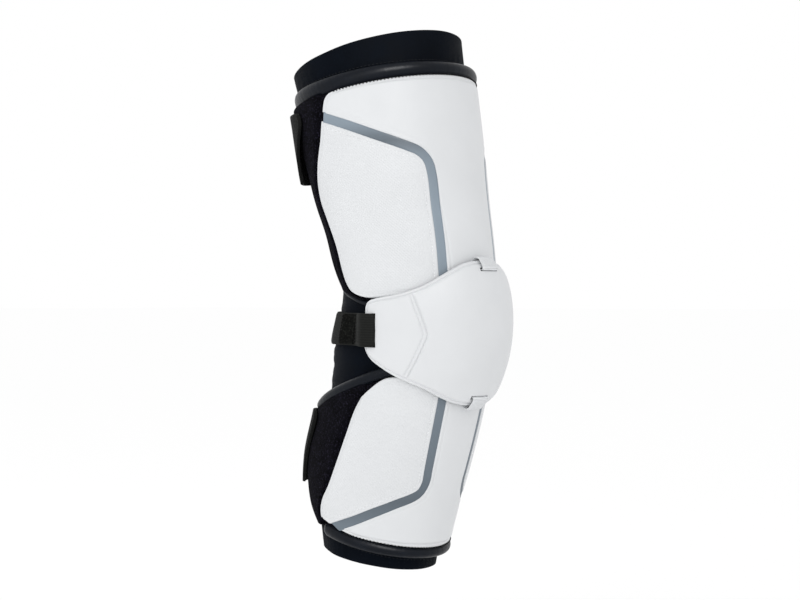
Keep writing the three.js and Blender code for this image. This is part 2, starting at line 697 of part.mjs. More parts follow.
function wideStrap({ tab, end, stand }) {
  const edge = route(tab);
  const [[footRound, footUp], [topRound, topUp]] = [edge(0), edge(1)];
  const foot = (s) => [lerp(footRound, end, s), footUp];
  const top = (s) => [lerp(topRound, end, s), topUp];
  const area = patch(foot, top, edge, (s) => [end, lerp(footUp, topUp, s)]);
  const lie = (u, v) => strapLie(area(u, v)[0]) + stand * (1 - v) * (1 - u) ** 2;
  const off = (u, v, face) => lie(u, v) + (face ? STRAP : 0);
  return sheet(area, off, STRAP_COLUMNS, STRAP_ROWS);
}

add('upper_strap', wideStrap(UPPER_STRAP), webbing);
add('lower_strap', wideStrap(LOWER_STRAP), webbing);

export default armPad;
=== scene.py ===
"""Lacrosse arm pad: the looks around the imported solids. Metres in Blender, millimetres in the tables.

Every piece lies on the skin of the arm. A place on it is given by the degrees round
(0 at the point of the elbow, 90 at the left side), the height, and the distance off the skin.
"""

import math

import bmesh
import bpy
import numpy as np
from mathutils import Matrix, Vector

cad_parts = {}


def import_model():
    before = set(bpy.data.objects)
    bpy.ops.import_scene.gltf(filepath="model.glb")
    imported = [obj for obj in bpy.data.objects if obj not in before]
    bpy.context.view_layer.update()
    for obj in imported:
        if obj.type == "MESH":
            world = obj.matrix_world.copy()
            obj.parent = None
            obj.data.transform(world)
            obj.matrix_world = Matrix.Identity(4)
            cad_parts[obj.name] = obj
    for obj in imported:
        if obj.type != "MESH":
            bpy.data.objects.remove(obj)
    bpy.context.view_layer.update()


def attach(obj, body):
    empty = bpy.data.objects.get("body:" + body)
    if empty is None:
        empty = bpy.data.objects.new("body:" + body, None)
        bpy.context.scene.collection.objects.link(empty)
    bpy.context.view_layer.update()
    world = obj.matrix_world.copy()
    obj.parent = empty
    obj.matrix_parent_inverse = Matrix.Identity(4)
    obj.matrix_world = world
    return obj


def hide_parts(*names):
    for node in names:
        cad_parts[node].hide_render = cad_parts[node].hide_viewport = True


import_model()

MM = 0.001
BODY = "root"
SHEET_SHARP, STRIP_SHARP, CAP_SHARP = 50, 60, 35  # degrees from which an edge shows as sharp
FLAT_UNIT = 100  # mm of the unrolled surface to one unit of its texture coordinates
SKIN_STEP = 0.5  # degrees and mm between the places that give the skin's slope
NEARBY = 0.01  # the part of a route between the places that give its direction

# Distances off the skin, and widths
SLEEVE = 3
CUFF = 4
WRAP_INSIDE = 3.3
WRAP_UNDER_PANELS = 7.6
WRAP_BESIDE_PANELS = 11.2
PANEL_INSIDE = 8
PANEL_FACE = 12
BAND_FACE = 11.5
MM_PER_DEGREE = 1.05
BAND = 7
BINDING = 2
STRAP = 2.2
GAP = 0.3

# The skin of the arm: height, how far its middle lies to the rear, its half width, and its
# depth from that middle to the front and to the rear
ARM = np.array([
    (-180, 31, 37, 37, 37),
    (-160, 29.5, 37.5, 38, 38),
    (-140, 27.5, 40, 40.5, 40.5),
    (-118, 25, 43.5, 44, 48.5),
    (-88, 19.5, 47.5, 48, 52.5),
    (-50, 9, 49, 48.5, 52),
    (-25, 3, 49, 48.5, 55),
    (0, -1.5, 49.5, 49, 57),
    (25, -4.5, 49, 48, 53),
    (60, -1.5, 49.5, 48.5, 50),
    (100, 7.5, 52, 51.5, 53.5),
    (140, 16, 55, 54.5, 59),
    (176, 23.5, 56.5, 56.5, 62),
    (205, 30, 58, 58, 66.5),
    (232, 34, 59, 60, 69),
], float)


def cosine(degrees):
    return np.cos(np.radians(degrees))


def lerp(a, b, t):
    return a + (b - a) * t


def ease(x, low, high):
    """0 below low, 1 above high, smooth between."""
    t = np.clip((x - low) / (high - low), 0, 1)
    return t * t * (3 - 2 * t)


# Lines that run all round the arm, as heights
def upper_rim(round_):
    return 208.2 + 16.6 * cosine(round_)


def upper_roll(round_):
    return 184.1 + 11.2 * cosine(round_)


def lower_roll(round_):
    return -141 - 11.7 * cosine(round_)


def lower_rim(round_):
    return -159 - 8 * cosine(round_)


ROLL_INSIDE = 3.5
ROLL_HALF = {"front": 4, "rear": 4.8, "from": 0, "to": 120}
ROLL_HIGH = {"front": 4.6, "rear": 2.4, "from": 50, "to": 140}
UPPER_ROLL_FULLER = 0.9


def changing(values, round_):
    """A size that changes from the front of the arm to its rear."""
    way = (np.abs(round_) - values["from"]) / (values["to"] - values["from"])
    return lerp(values["front"], values["rear"], np.clip(way, 0, 1))


def roll_half(round_):
    return changing(ROLL_HALF, round_)


def upper_roll_half(round_):
    return roll_half(round_) + UPPER_ROLL_FULLER


def roll_high(round_):
    return changing(ROLL_HIGH, round_)


def smooth(points):
    """A smooth curve through (x, y) points with rising x."""
    xs, ys = np.array(points, float).T
    step = np.diff(xs)
    slope = np.diff(ys) / step
    inner = (slope[:-1] * step[1:] + slope[1:] * step[:-1]) / (step[:-1] + step[1:])
    tangent = np.concatenate([slope[:1], inner, slope[-1:]])

    def curve(x):
        i = np.clip(np.searchsorted(xs, x) - 1, 0, len(step) - 1)
        h = step[i]
        t = (x - xs[i]) / h
        rise = ys[i + 1] - ys[i]
        m0, m1 = tangent[i] * h, tangent[i + 1] * h
        return ys[i] + t * (m0 + t * (3 * rise - 2 * m0 - m1 + t * (m0 + m1 - 2 * rise)))

    return curve


arm_middle, arm_half, arm_front, arm_rear = [smooth(ARM[:, [0, k]]) for k in range(1, 5)]


def skin(round_, up):
    to_front = cosine(round_)
    depth = np.where(to_front > 0, arm_front(up), arm_rear(up))
    across = -arm_half(up) * np.sin(np.radians(round_))
    return np.stack([across, arm_middle(up) - depth * to_front, up], -1)


def place(round_, up, off):
    """Points in mm, for arrays of degrees round, heights and distances off the skin."""
    round_, up, off = np.broadcast_arrays(*[np.asarray(k, float) for k in (round_, up, off)])
    point = skin(round_, up)
    across = skin(round_ + SKIN_STEP, up) - skin(round_ - SKIN_STEP, up)
    along = skin(round_, up + SKIN_STEP) - skin(round_, up - SKIN_STEP)
    normal = np.cross(along, across)
    normal /= np.linalg.norm(normal, axis=-1, keepdims=True)
    outward = point - np.stack([0 * up, arm_middle(up), up], -1)
    normal *= np.sign((normal * outward).sum(-1, keepdims=True))
    return point + normal * off[..., None]


# Routes on the unrolled skin: functions from 0..1 to (round, up)
def route(points, finely=60):
    """The centripetal Catmull-Rom line through (degrees round, height) points."""
    spots = np.array(points, float) * (MM_PER_DEGREE, 1)
    spots = np.vstack([2 * spots[0] - spots[1], spots, 2 * spots[-1] - spots[-2]])
    pieces = []
    for p0, p1, p2, p3 in zip(spots, spots[1:], spots[2:], spots[3:]):
        d0, d1, d2 = [math.sqrt(np.linalg.norm(b - a)) for a, b in ((p0, p1), (p1, p2), (p2, p3))]
        t1 = ((p1 - p0) / d0 - (p2 - p0) / (d0 + d1) + (p2 - p1) / d1) * d1
        t2 = ((p2 - p1) / d1 - (p3 - p1) / (d1 + d2) + (p3 - p2) / d2) * d1
        t = np.linspace(0, 1, finely, endpoint=False)[:, None]
        rise = p2 - p1
        pieces.append(p1 + t * (t1 + t * (3 * rise - 2 * t1 - t2 + t * (t1 + t2 - 2 * rise))))
    line = np.vstack([*pieces, spots[-2]])
    way = np.concatenate([[0], np.cumsum(np.linalg.norm(np.diff(line, axis=0), axis=1))])
    way /= way[-1]

    def at(s):
        s = np.clip(s, 0, 1)
        round_ = np.interp(s, way, line[:, 0]) / MM_PER_DEGREE
        return np.stack([round_, np.interp(s, way, line[:, 1])], -1)

    return at


def level(height, start, end):
    """The route at a height that depends on the degrees round."""
    def at(s):
        round_ = lerp(start, end, np.asarray(s, float))
        return np.stack([round_, height(round_)], -1)

    return at


def straight(start, end):
    """The straight route from one (round, up) to another."""
    return lambda s: lerp(np.asarray(start), np.asarray(end), np.asarray(s, float)[..., None])


def stretch(line, start, end):
    """The part of a route between two of its 0..1 positions, backwards if end comes first."""
    return lambda s: line(lerp(start, end, np.asarray(s, float)))


def mirrored(line):
    return lambda *where: line(*where) * (-1, 1)


def ending_at(line, end):
    """The same route, moved so that it ends at end."""
    return lambda s: line(s) + np.asarray(s, float)[..., None] * (np.asarray(end) - line(1.0))


def as_is(line):
    return line


def beside(line, away):
    """The route away mm to the left of another's direction; away may change along it."""
    def at(s):
        s = np.asarray(s, float)
        ahead = line(np.minimum(1, s + NEARBY)) - line(np.maximum(0, s - NEARBY))
        across, rise = np.moveaxis(ahead * (MM_PER_DEGREE, 1), -1, 0)
        length = np.hypot(across, rise)
        round_, up = np.moveaxis(line(s), -1, 0)
        return np.stack([round_ - away * rise / length / MM_PER_DEGREE, up + away * across / length], -1)

    return at


def symmetric(points):
    return route(list(points) + [(-round_, up) for round_, up in reversed(points[:-1])])


def patch(bottom, top, left, right):
    """The surface between four routes, as a function from (u, v) to (round, up)."""
    def at(u, v):
        u, v = np.broadcast_arrays(u, v)
        uu, vv = u[..., None], v[..., None]
        sides = (1 - vv) * bottom(u) + vv * top(u) + (1 - uu) * left(v) + uu * right(v)
        low = (1 - uu) * bottom(0.0) + uu * bottom(1.0)
        high = (1 - uu) * top(0.0) + uu * top(1.0)
        return sides - (1 - vv) * low - vv * high

    return at


# Meshes
def placed(name, data):
    obj = bpy.data.objects.new(name, data)
    bpy.context.scene.collection.objects.link(obj)
    return obj


def make_mesh(name, points, faces, uvs=None, sharp=None):
    """A mesh from mm points, quads and the unrolled place of each point (mm)."""
    mesh = bpy.data.meshes.new(name)
    mesh.from_pydata((np.asarray(points) * MM).tolist(), [], [tuple(f) for f in faces])
    if uvs is not None:
        layer = mesh.uv_layers.new(name="flat")
        loops = np.array([loop.vertex_index for loop in mesh.loops])
        layer.data.foreach_set("uv", (np.asarray(uvs)[loops] / FLAT_UNIT).ravel())
    mesh.validate()
    obj = placed(name, mesh)
    mesh.shade_smooth()
    if sharp:
        mesh.set_sharp_from_angle(angle=math.radians(sharp))
    turn_out(mesh)
    return obj


def turn_out(mesh):
    """Turns the faces out if the closed mesh's volume comes out negative."""
    bm = bmesh.new()
    bm.from_mesh(mesh)
    if bm.calc_volume(signed=True) < 0:
        bmesh.ops.reverse_faces(bm, faces=bm.faces)
        bm.to_mesh(mesh)
    bm.free()


def grid_faces(rows, columns, start=0, wrap_rows=False, wrap_columns=False, flip=False):
    """Quads of a grid of rows x columns points that begins at start."""
    r = np.arange(rows if wrap_rows else rows - 1)[:, None]
    c = np.arange(columns if wrap_columns else columns - 1)[None, :]
    r2, c2 = (r + 1) % rows, (c + 1) % columns
    corners = [r * columns + c, r * columns + c2, r2 * columns + c2, r2 * columns + c]
    if flip:
        corners.reverse()
    return (np.stack([np.broadcast_to(k, (r.size, c.size)) for k in corners], -1) + start).reshape(-1, 4)


def spread(length, step, fine=(0, 0.15, 0.35, 0.65, 1.05, 1.6, 2.4, 3.5)):
    """0..1 positions along length mm: fine ones near both ends and even ones of about step mm."""
    near = np.array([f for f in fine if f < length / 3])
    even = np.linspace(near[-1], length - near[-1], max(2, int(length / step)))[1:-1]
    return np.concatenate([near, even, length - near[::-1]]) / length


def run(points):
    """Distance in mm from the first point to each, along the first axis."""
    steps = np.linalg.norm(np.diff(points, axis=0), axis=-1)
    return np.concatenate([np.zeros((1,) + steps.shape[1:]), np.cumsum(steps, axis=0)])


def edge_distances(points):
    """How far each point of a grid lies from the grid's left, right, bottom and top edges."""
    across = np.swapaxes(run(np.swapaxes(points, 0, 1)), 0, 1)
    upward = run(points)
    return across, across[:, -1:] - across, upward, upward[-1:] - upward


def two_faced(name, flat, outer_off, inner_off):
    """A closed sheet over a grid of (round, up), between two distances off the skin."""
    round_, up = flat[..., 0], flat[..., 1]
    rows, columns = round_.shape
    count = rows * columns
    index = np.arange(count).reshape(rows, columns)
    border = np.concatenate([index[0, :-1], index[:-1, -1], index[-1, :0:-1], index[:0:-1, 0]])
    after = np.roll(border, -1)
    rim = np.stack([border, border + count, after + count, after], -1)
    faces = np.vstack([grid_faces(rows, columns), grid_faces(rows, columns, count, flip=True), rim])
    layers = [place(round_, up, off).reshape(-1, 3) for off in (outer_off, inner_off)]
    uvs = np.tile(flat.reshape(-1, 2) * (MM_PER_DEGREE, 1), (2, 1))
    return make_mesh(name, np.vstack(layers), faces, uvs, SHEET_SHARP)


def rounded_corner(left, low, radius):
    """Moves places near a corner onto a quarter circle; left and low are mm from its two edges."""
    a, b = 1 - np.minimum(1, left / radius), 1 - np.minimum(1, low / radius)
    near = (left < radius) & (low < radius)
    new_left = radius * (1 - a * np.sqrt(1 - b * b / 2))
    new_low = radius * (1 - b * np.sqrt(1 - a * a / 2))
    return np.where(near, new_left, left), np.where(near, new_low, low)


def patch_grid(area, u, v, off, corners=()):
    """The (round, up) grid of a patch, its distances to the edges and its v, with some corners
    rounded; corners lists (on the right or not, at the top or not, radius)."""
    uu, vv = np.meshgrid(u, v)
    flat = area(uu, vv)
    edges = edge_distances(place(flat[..., 0], flat[..., 1], off))
    wide, tall = edges[0] + edges[1], edges[2] + edges[3]
    for right, top, radius in corners:
        side, rise = edges[1 if right else 0], edges[3 if top else 2]
        new_side, new_rise = rounded_corner(side, rise, radius)
        uu = uu + (side - new_side if right else new_side - side) / wide
        vv = vv + (rise - new_rise if top else new_rise - rise) / tall
    return area(uu, vv), edges, vv


def slab(name, area, off, inside, u, v):
    """A closed sheet over a patch; off gets the grid's (round, up) and its distances to the edges."""
    flat, edges, _ = patch_grid(area, u, v, inside)
    return two_faced(name, flat, off(flat[..., 0], flat[..., 1], edges), inside)


def loft(name, sections, uvs, closed=False, sharp=None):
    """Joins closed sections [steps, corners, 3], with flat ends unless it closes on itself."""
    steps, corners = sections.shape[:2]
    faces = [tuple(f) for f in grid_faces(steps, corners, wrap_rows=closed, wrap_columns=True)]
    if not closed:
        faces.append(tuple(range(corners)))
        faces.append(tuple(range((steps - 1) * corners, steps * corners)))
    return make_mesh(name, sections.reshape(-1, 3), faces, uvs.reshape(-1, 2), sharp)


def rounding(distance, radius):
    """0 at the edge, 1 from radius on, along a quarter circle."""
    return np.sqrt(np.maximum(0, 1 - (1 - np.minimum(1, distance / radius)) ** 2))


# Tubes, rings and strips
def tube(name, line, inside, across, high, step, sides, end_round, ripple):
    """An oval tube along a route, its ends rounded off; across and high depend on the degrees round."""
    s = spread(run(place(*np.moveaxis(line(np.linspace(0, 1, 80)), -1, 0), inside))[-1], step)
    length = run(place(*np.moveaxis(line(s), -1, 0), inside))
    taper = rounding(np.minimum(length, length[-1] - length) + 0.02, end_round)
    turn = np.linspace(0, 2 * np.pi, sides, endpoint=False)
    middle = line(s)[:, 0]
    half, tall = across(middle) + 0 * s, high(middle) + 0 * s
    pucker = ripple * (np.sin(length * 1.9 + 2 * np.sin(length * 0.23)) + np.sin(length * 1.13))
    rings = []
    for angle in turn:
        round_, up = np.moveaxis(beside(line, half * taper * np.cos(angle))(s), -1, 0)
        rise = tall * (1 + taper * np.sin(angle)) + pucker * max(0, np.sin(angle)) * abs(np.cos(angle))
        rings.append(place(round_, up, inside + rise))
    girth = turn * (np.mean(half) + np.mean(tall)) / 2
    uvs = np.stack(np.broadcast_arrays(length[:, None], girth[None]), -1)
    return loft(name, np.stack(rings, 1), uvs)


def ring(name, profile, low, high, columns, bump):
    """A closed ring round the arm; profile rows are (off, part of the way from low to high), and
    bump gives what comes on top of off."""
    turn = np.linspace(0, 360, columns, endpoint=False)
    off, way = np.array(profile, float).T
    round_, off = np.meshgrid(turn, off)
    up = lerp(low(round_), high(round_), way[:, None])
    points = place(round_, up, off + bump(round_, up, off))
    flat = np.stack([np.abs((round_ + 180) % 360 - 180) * MM_PER_DEGREE, up], -1)
    return loft(name, np.swapaxes(points, 0, 1), np.swapaxes(flat, 0, 1), closed=True)


def strip_section(width, thick, columns):
    """The corners of a webbing's section: (sideways, through) mm, with rounded selvedges."""
    side = np.linspace(-1, 1, columns)
    soft = thick / 2 * np.sqrt(np.maximum(0.05, 1 - np.abs(side) ** 24))
    top = np.stack([side * width / 2, soft], -1)
    return np.vstack([top, top[::-1] * (1, -1)])


def swept(spots, section, steps):
    """A section swept along a line of (mm along, off) spots: how far along and off the skin its
    corners lie, and their unrolled places."""
    line = route([(along / MM_PER_DEGREE, off) for along, off in spots], 40)
    path = line(np.linspace(0, 1, steps)) * (MM_PER_DEGREE, 1)
    way = np.gradient(path, axis=0)
    way /= np.linalg.norm(way, axis=-1, keepdims=True)
    along = path[:, None, 0] - way[:, None, 1] * section[None, :, 1]
    off = path[:, None, 1] + way[:, None, 0] * section[None, :, 1]
    uvs = np.stack(np.broadcast_arrays(run(path)[:, None], section[None, :, 0]), -1)
    return along, off, uvs


# The rings of a stitch: part of its half length, and part of its thickness
STITCH_SPINE = [(-1, 0.25), (-0.8, 0.8), (0, 1), (0.8, 0.8), (1, 0.25)]
STITCH_SIDES = 6


def on_path(points, way, distance):
    return np.array([np.interp(distance, way, points[:, k]) for k in range(3)])


def stitch(path, above, way, middle, length, thick):
    """The points of one small capsule of thread, in rings along it."""
    start, centre, end = [on_path(path, way, middle + d) for d in (-length / 2, 0, length / 2)]
    upward = on_path(above, way, middle) - centre
    along = (end - start) / np.linalg.norm(end - start)
    sideways = np.cross(upward, along)
    points = []
    for part, fat in STITCH_SPINE:
        for angle in np.linspace(0, 2 * np.pi, STITCH_SIDES, endpoint=False):
            spoke = math.cos(angle) * sideways + math.sin(angle) * upward
            points.append(centre + along * part * length / 2 + fat * thick * spoke)
    return points


def stitches(name, lines, pitch, length, thick, lift):
    """Thread along routes, one capsule for each stitch. lines holds (route, off) pairs."""
    points, faces = [], []
    rings = len(STITCH_SPINE)
    for line, off in lines:
        spots = line(np.linspace(0, 1, 400))
        path, above = [place(spots[:, 0], spots[:, 1], off + lift + k) for k in (0, 1)]
        way = run(path)
        count = int(way[-1] / pitch)
        for k in range(count):
            base = len(points)
            points += stitch(path, above, way, (k + 0.5) * way[-1] / count, length, thick)
            faces += [tuple(f) for f in grid_faces(rings, STITCH_SIDES, base, wrap_columns=True)]
            faces.append(tuple(range(base, base + STITCH_SIDES)))
            faces.append(tuple(range(base + (rings - 1) * STITCH_SIDES, base + rings * STITCH_SIDES)))
    return make_mesh(name, np.array(points), faces)


# Materials
class Shader:
    """A small helper that adds nodes to a material and joins them."""

    def __init__(self, name, color, roughness, **values):
        self.material = bpy.data.materials.new(name)
        self.material.use_nodes = True
        self.tree = self.material.node_tree
        self.surface = self.tree.nodes["Principled BSDF"]
        self.surface.inputs["Base Color"].default_value = (*color, 1)
        self.surface.inputs["Roughness"].default_value = roughness
        for socket, value in values.items():
            self.surface.inputs[socket.replace("_", " ")].default_value = value
        uv = self.tree.nodes.new("ShaderNodeUVMap")
        uv.uv_map = "flat"
        self.flat = uv.outputs["UV"]
        self.object = self.tree.nodes.new("ShaderNodeTexCoord").outputs["Object"]

    def node(self, kind, inputs=(), **settings):
        made = self.tree.nodes.new(kind)
        for key, value in settings.items():
            setattr(made, key, value)
        for socket, value in dict(inputs).items():
            self.put(made.inputs[socket], value)
        return made

    def put(self, socket, value):
        if isinstance(value, bpy.types.NodeSocket):
            self.tree.links.new(value, socket)
        else:
            socket.default_value = value

    def scaled(self, source, scale, turn=0.0):
        made = self.node("ShaderNodeMapping", {"Vector": source, "Scale": scale, "Rotation": (0, 0, turn)})
        return made.outputs["Vector"]

    def split(self, source):
        return self.node("ShaderNodeSeparateXYZ", {"Vector": source}).outputs

    def noise(self, source, scale, detail=4.0, rough=0.55):
        inputs = {"Vector": source, "Scale": scale, "Detail": detail, "Roughness": rough}
        return self.node("ShaderNodeTexNoise", inputs).outputs["Fac"]

    def math(self, operation, a, b=0.0):
        return self.node("ShaderNodeMath", {0: a, 1: b}, operation=operation).outputs[0]

    def ramp(self, value, low, high, start=0.0, end=1.0):
        inputs = {"Value": value, "From Min": low, "From Max": high, "To Min": start, "To Max": end}
        return self.node("ShaderNodeMapRange", inputs).outputs["Result"]

    def mix(self, factor, a, b):
        made = self.node("ShaderNodeMix", {0: factor}, data_type="RGBA")
        self.put(made.inputs[6], a)
        self.put(made.inputs[7], b)
        return made.outputs[2]

    def bump(self, *layers):
        """Joins the surface's normal from layers of (height, strength, distance in metres)."""
        normal = None
        for height, strength, distance in layers:
            inputs = {"Strength": strength, "Distance": distance, "Height": height}
            made = self.node("ShaderNodeBump", inputs)
            if normal is not None:
                self.put(made.inputs["Normal"], normal)
            normal = made.outputs["Normal"]
        self.put(self.surface.inputs["Normal"], normal)

    def color(self, value):
        self.put(self.surface.inputs["Base Color"], value)

    def rough(self, value):
        self.put(self.surface.inputs["Roughness"], value)


def shade(color, factor):
    """A colour made lighter or darker, with its alpha."""
    return (*[c * factor for c in color], 1)


def waves(m, kind, apart, turn=0.0):
    """Waves along both ways of the unrolled surface, apart mm from crest to crest."""
    scale = (FLAT_UNIT / apart, FLAT_UNIT / apart, 1)
    ways = m.split(m.scaled(m.flat, scale, turn))
    return [m.math(kind, m.math("MULTIPLY", ways[k], 2 * math.pi)) for k in (0, 1)]


def ridges(m, value, apart):
    """Round ridges, apart mm from each other, along the way that value measures."""
    return m.math("ABSOLUTE", m.math("SINE", m.math("MULTIPLY", value, math.pi * FLAT_UNIT / apart)))


def dimples(m, apart=1.7):
    """Dimples in slanting rows, as a height."""
    both = m.math("ADD", *waves(m, "COSINE", apart, math.radians(45)))
    return m.ramp(both, 0.3, 1.8, 1.0, 0.0)


def white_shell(name, textured):
    """A moulded skin, faintly mottled and wavy, with dimples if it is textured."""
    base = (0.662, 0.674, 0.688)
    m = Shader(name, base, 0.5, Specular_IOR_Level=0.06)
    mottle = m.ramp(m.noise(m.object, 22.0, 3.0), 0.3, 0.7)
    m.color(m.mix(mottle, shade(base, 0.975), shade(base, 1.015)))
    m.rough(m.ramp(m.noise(m.object, 160.0), 0.3, 0.7, 0.38, 0.5))
    wavy, grain = m.noise(m.object, 35.0, 2.0), m.noise(m.object, 1500.0, 2.0)
    layers = [(wavy, 0.12, 0.0008), (grain, 0.10, 0.00008)]
    if textured:
        layers.append((dimples(m), 0.55, 0.00018))
    m.bump(*layers)
    return m.material


# The grey film's colour by height in mm, painted shade and painted reflection over its grey: painted shade
# makes it darker at the upper bend and just below the lower one
FILM_SHADE_AND_REFLECTION = [
    (-132, 0.152), (-125, 0.131), (-112, 0.106), (-106, 0.118), (-90, 0.139), (-28, 0.172), (60, 0.235),
    (90, 0.245), (110, 0.225), (125, 0.215), (133, 0.19), (138, 0.145), (142, 0.12), (146, 0.14),
    (150, 0.18), (155, 0.22), (165, 0.235),
]
FILM_TINT = (1, 1.2, 1.4)


# Colour by height from a table; for the grey film this paints its shade and reflection
def shade_and_reflection_by_height(m, shade_and_reflection_tones, tint):
    low, high = shade_and_reflection_tones[0][0], shade_and_reflection_tones[-1][0]
    up = m.split(m.flat)[1]
    made = m.node("ShaderNodeValToRGB", {"Fac": m.ramp(up, low / FLAT_UNIT, high / FLAT_UNIT)})
    elements = made.color_ramp.elements
    while len(elements) < len(shade_and_reflection_tones):
        elements.new(0.5)
    for element, (height, painted_tone) in zip(elements, shade_and_reflection_tones):
        element.position = (height - low) / (high - low)
        element.color = shade(tint, painted_tone)
    return made.outputs["Color"]


def grey_film(name):
    m = Shader(name, shade(FILM_TINT, 0.2)[:3], 0.42, Specular_IOR_Level=0.1)
    # The film's colour carries painted reflection and painted shade, set by height
    m.color(shade_and_reflection_by_height(m, FILM_SHADE_AND_REFLECTION, FILM_TINT))
    m.rough(m.ramp(m.noise(m.object, 260.0), 0.3, 0.7, 0.38, 0.48))
    brushed = m.noise(m.scaled(m.flat, (14, 14, 1), math.radians(20)), 60.0, 2.0)
    m.bump((m.noise(m.object, 1200.0, 2.0), 0.12, 0.00008), (brushed, 0.1, 0.0001))
    return m.material


def knit(name, base, roughness, rib=0.55):
    """A fine jersey knit: little V stitches in columns, two to rib mm."""
    m = Shader(name, base, roughness, Specular_IOR_Level=0.02, Sheen_Weight=0.006, Sheen_Roughness=0.45)
    ways = m.split(m.scaled(m.flat, (FLAT_UNIT / rib, FLAT_UNIT / rib, 1)))
    across, along = [m.math("MULTIPLY", ways[k], 2 * math.pi) for k in (0, 1)]
    column = m.math("ABSOLUTE", m.math("SINE", across))
    slant = m.math("ADD", m.math("MULTIPLY", column, 1.6), along)
    height = m.math("ADD", column, m.math("MULTIPLY", m.math("SINE", slant), 0.5))
    patchy = m.noise(m.object, 60.0)
    m.color(m.mix(m.ramp(patchy, 0.3, 0.75), shade(base, 0.8), shade(base, 1.3)))
    m.rough(m.ramp(patchy, 0.3, 0.7, roughness - 0.06, roughness + 0.08))
    m.bump((m.noise(m.object, 45.0, 3.0), 0.25, 0.0006), (height, 0.35, 0.00012))
    return m.material


def fuzzy(name, base):
    """Brushed loop fabric for hook tabs: curls with dark hollows and pale specks."""
    m = Shader(name, base, 0.95, Specular_IOR_Level=0.03, Sheen_Weight=0.006, Sheen_Roughness=0.6)
    tufts = m.noise(m.object, 420.0, 6.0, 0.75)
    cells = m.node("ShaderNodeTexVoronoi", {"Vector": m.object, "Scale": 900.0, "Randomness": 1.0})
    blotch = m.ramp(m.noise(m.object, 90.0, 5.0, 0.7), 0.35, 0.7)
    speck = m.ramp(m.noise(m.object, 900.0, 2.0), 0.56, 0.66)
    m.color(m.mix(speck, m.mix(blotch, shade(base, 0.35), shade(base, 1.4)), shade(base, 6)))
    m.bump((tufts, 0.9, 0.0009), (cells.outputs["Distance"], 0.7, 0.0003))
    return m.material


def smooth_binding(name, base):
    m = Shader(name, base, 0.34, Specular_IOR_Level=0.11, Sheen_Weight=0.003, Sheen_Roughness=0.35)
    weave = m.math("MULTIPLY", *waves(m, "SINE", 0.5, math.radians(45)))
    soft = m.noise(m.object, 70.0, 3.0)
    m.color(m.mix(m.ramp(soft, 0.3, 0.7), shade(base, 0.85), shade(base, 1.25)))
    m.bump((soft, 0.3, 0.0007), (weave, 0.18, 0.0001))
    return m.material


def webbing(name, base, rib=0.9, roughness=0.8, ribs_lengthwise=False):
    """Woven elastic: ribs rib mm apart, across its length if not lengthwise, over finer threads, with
    painted shade in the grooves and a painted highlight on the crests.
    """
    m = Shader(name, base, roughness, Specular_IOR_Level=0.08, Sheen_Weight=0.015)
    ways = m.split(m.flat)
    lengthwise, sideways = (ways[1], ways[0]) if ribs_lengthwise else (ways[0], ways[1])
    threads = m.math("MULTIPLY", ridges(m, sideways, 0.7), 0.6)
    woven = m.math("ADD", ridges(m, lengthwise, rib), threads)
    # Colour follows the weave's height: painted shade darkens the grooves between ribs and threads, and a
    # painted highlight lightens their crests
    m.color(m.mix(m.ramp(woven, 0.3, 1.6), shade(base, 0.55), shade(base, 1.35)))
    m.bump((m.noise(m.object, 120.0), 0.2, 0.0004), (woven, 0.6, 0.00022))
    return m.material


def thread(name, base, shine=0.4):
    m = Shader(name, base, 0.6, Specular_IOR_Level=shine)
    m.color(m.mix(m.ramp(m.noise(m.object, 700.0), 0.3, 0.7), shade(base, 0.85), shade(base, 1.1)))
    m.bump((m.noise(m.scaled(m.object, (1, 1, 3)), 2500.0, 2.0), 0.3, 0.00005))
    return m.material


RIBBED = {"rib": 1.7, "roughness": 0.7, "ribs_lengthwise": True}
LOOKS = {
    "shell": white_shell("shell", textured=False),
    "textured_shell": white_shell("textured_shell", textured=True),
    "grey_film": grey_film("grey_film"),
    "neoprene": knit("neoprene", (0.0024, 0.0038, 0.0068), roughness=0.55),
    "cuff_knit": knit("cuff_knit", (0.0024, 0.0038, 0.0066), roughness=0.6, rib=0.7),
    "loop_fabric": fuzzy("loop_fabric", (0.0026, 0.0024, 0.0042)),
    "binding": smooth_binding("binding", (0.004, 0.0056, 0.0092)),
    "webbing": webbing("webbing", (0.0042, 0.0044, 0.0042)),
    "ribbed_webbing": webbing("ribbed_webbing", (0.0078, 0.0084, 0.0076), **RIBBED),
    "fuzzy_webbing": fuzzy("fuzzy_webbing", (0.0036, 0.0038, 0.0034)),
    "white_webbing": webbing("white_webbing", (0.66, 0.675, 0.69), rib=0.8, roughness=0.6),
    "white_thread": thread("white_thread", (0.78, 0.79, 0.8)),
    "grey_thread": thread("grey_thread", (0.011, 0.013, 0.017), shine=0.1),
    "black_thread": thread("black_thread", (0.0012, 0.0012, 0.0014), shine=0.1),
}


def dress(obj, slot, nodes=(), look=None):
    """Gives a piece its material (its look, or else the one its slot names) and its body, and hides the CAD
    nodes it stands for.
    """
    obj.data.materials.clear()
    obj.data.materials.append(LOOKS[look or slot])
    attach(obj, BODY)
    if nodes:
        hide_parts(*nodes)
    return obj


def sew(name, lines, kind, slot, look):
    dress(stitches(name, lines, **kind), slot, look=look)


# Sleeve and cuffs
TUCK = 3.5
SLEEVE_OUTSIDE = SLEEVE - 0.35
HEM = {"flat_to": 0.94, "fold_at": 0.955, "fold_high": 0.045, "full": 0.25}


def upper_seam(round_):
    return upper_roll(round_) + TUCK


def lower_seam(round_):
    return lower_roll(round_) - TUCK


def bulge(x, middle, width):
    return np.exp(-((x - middle) / width) ** 2)


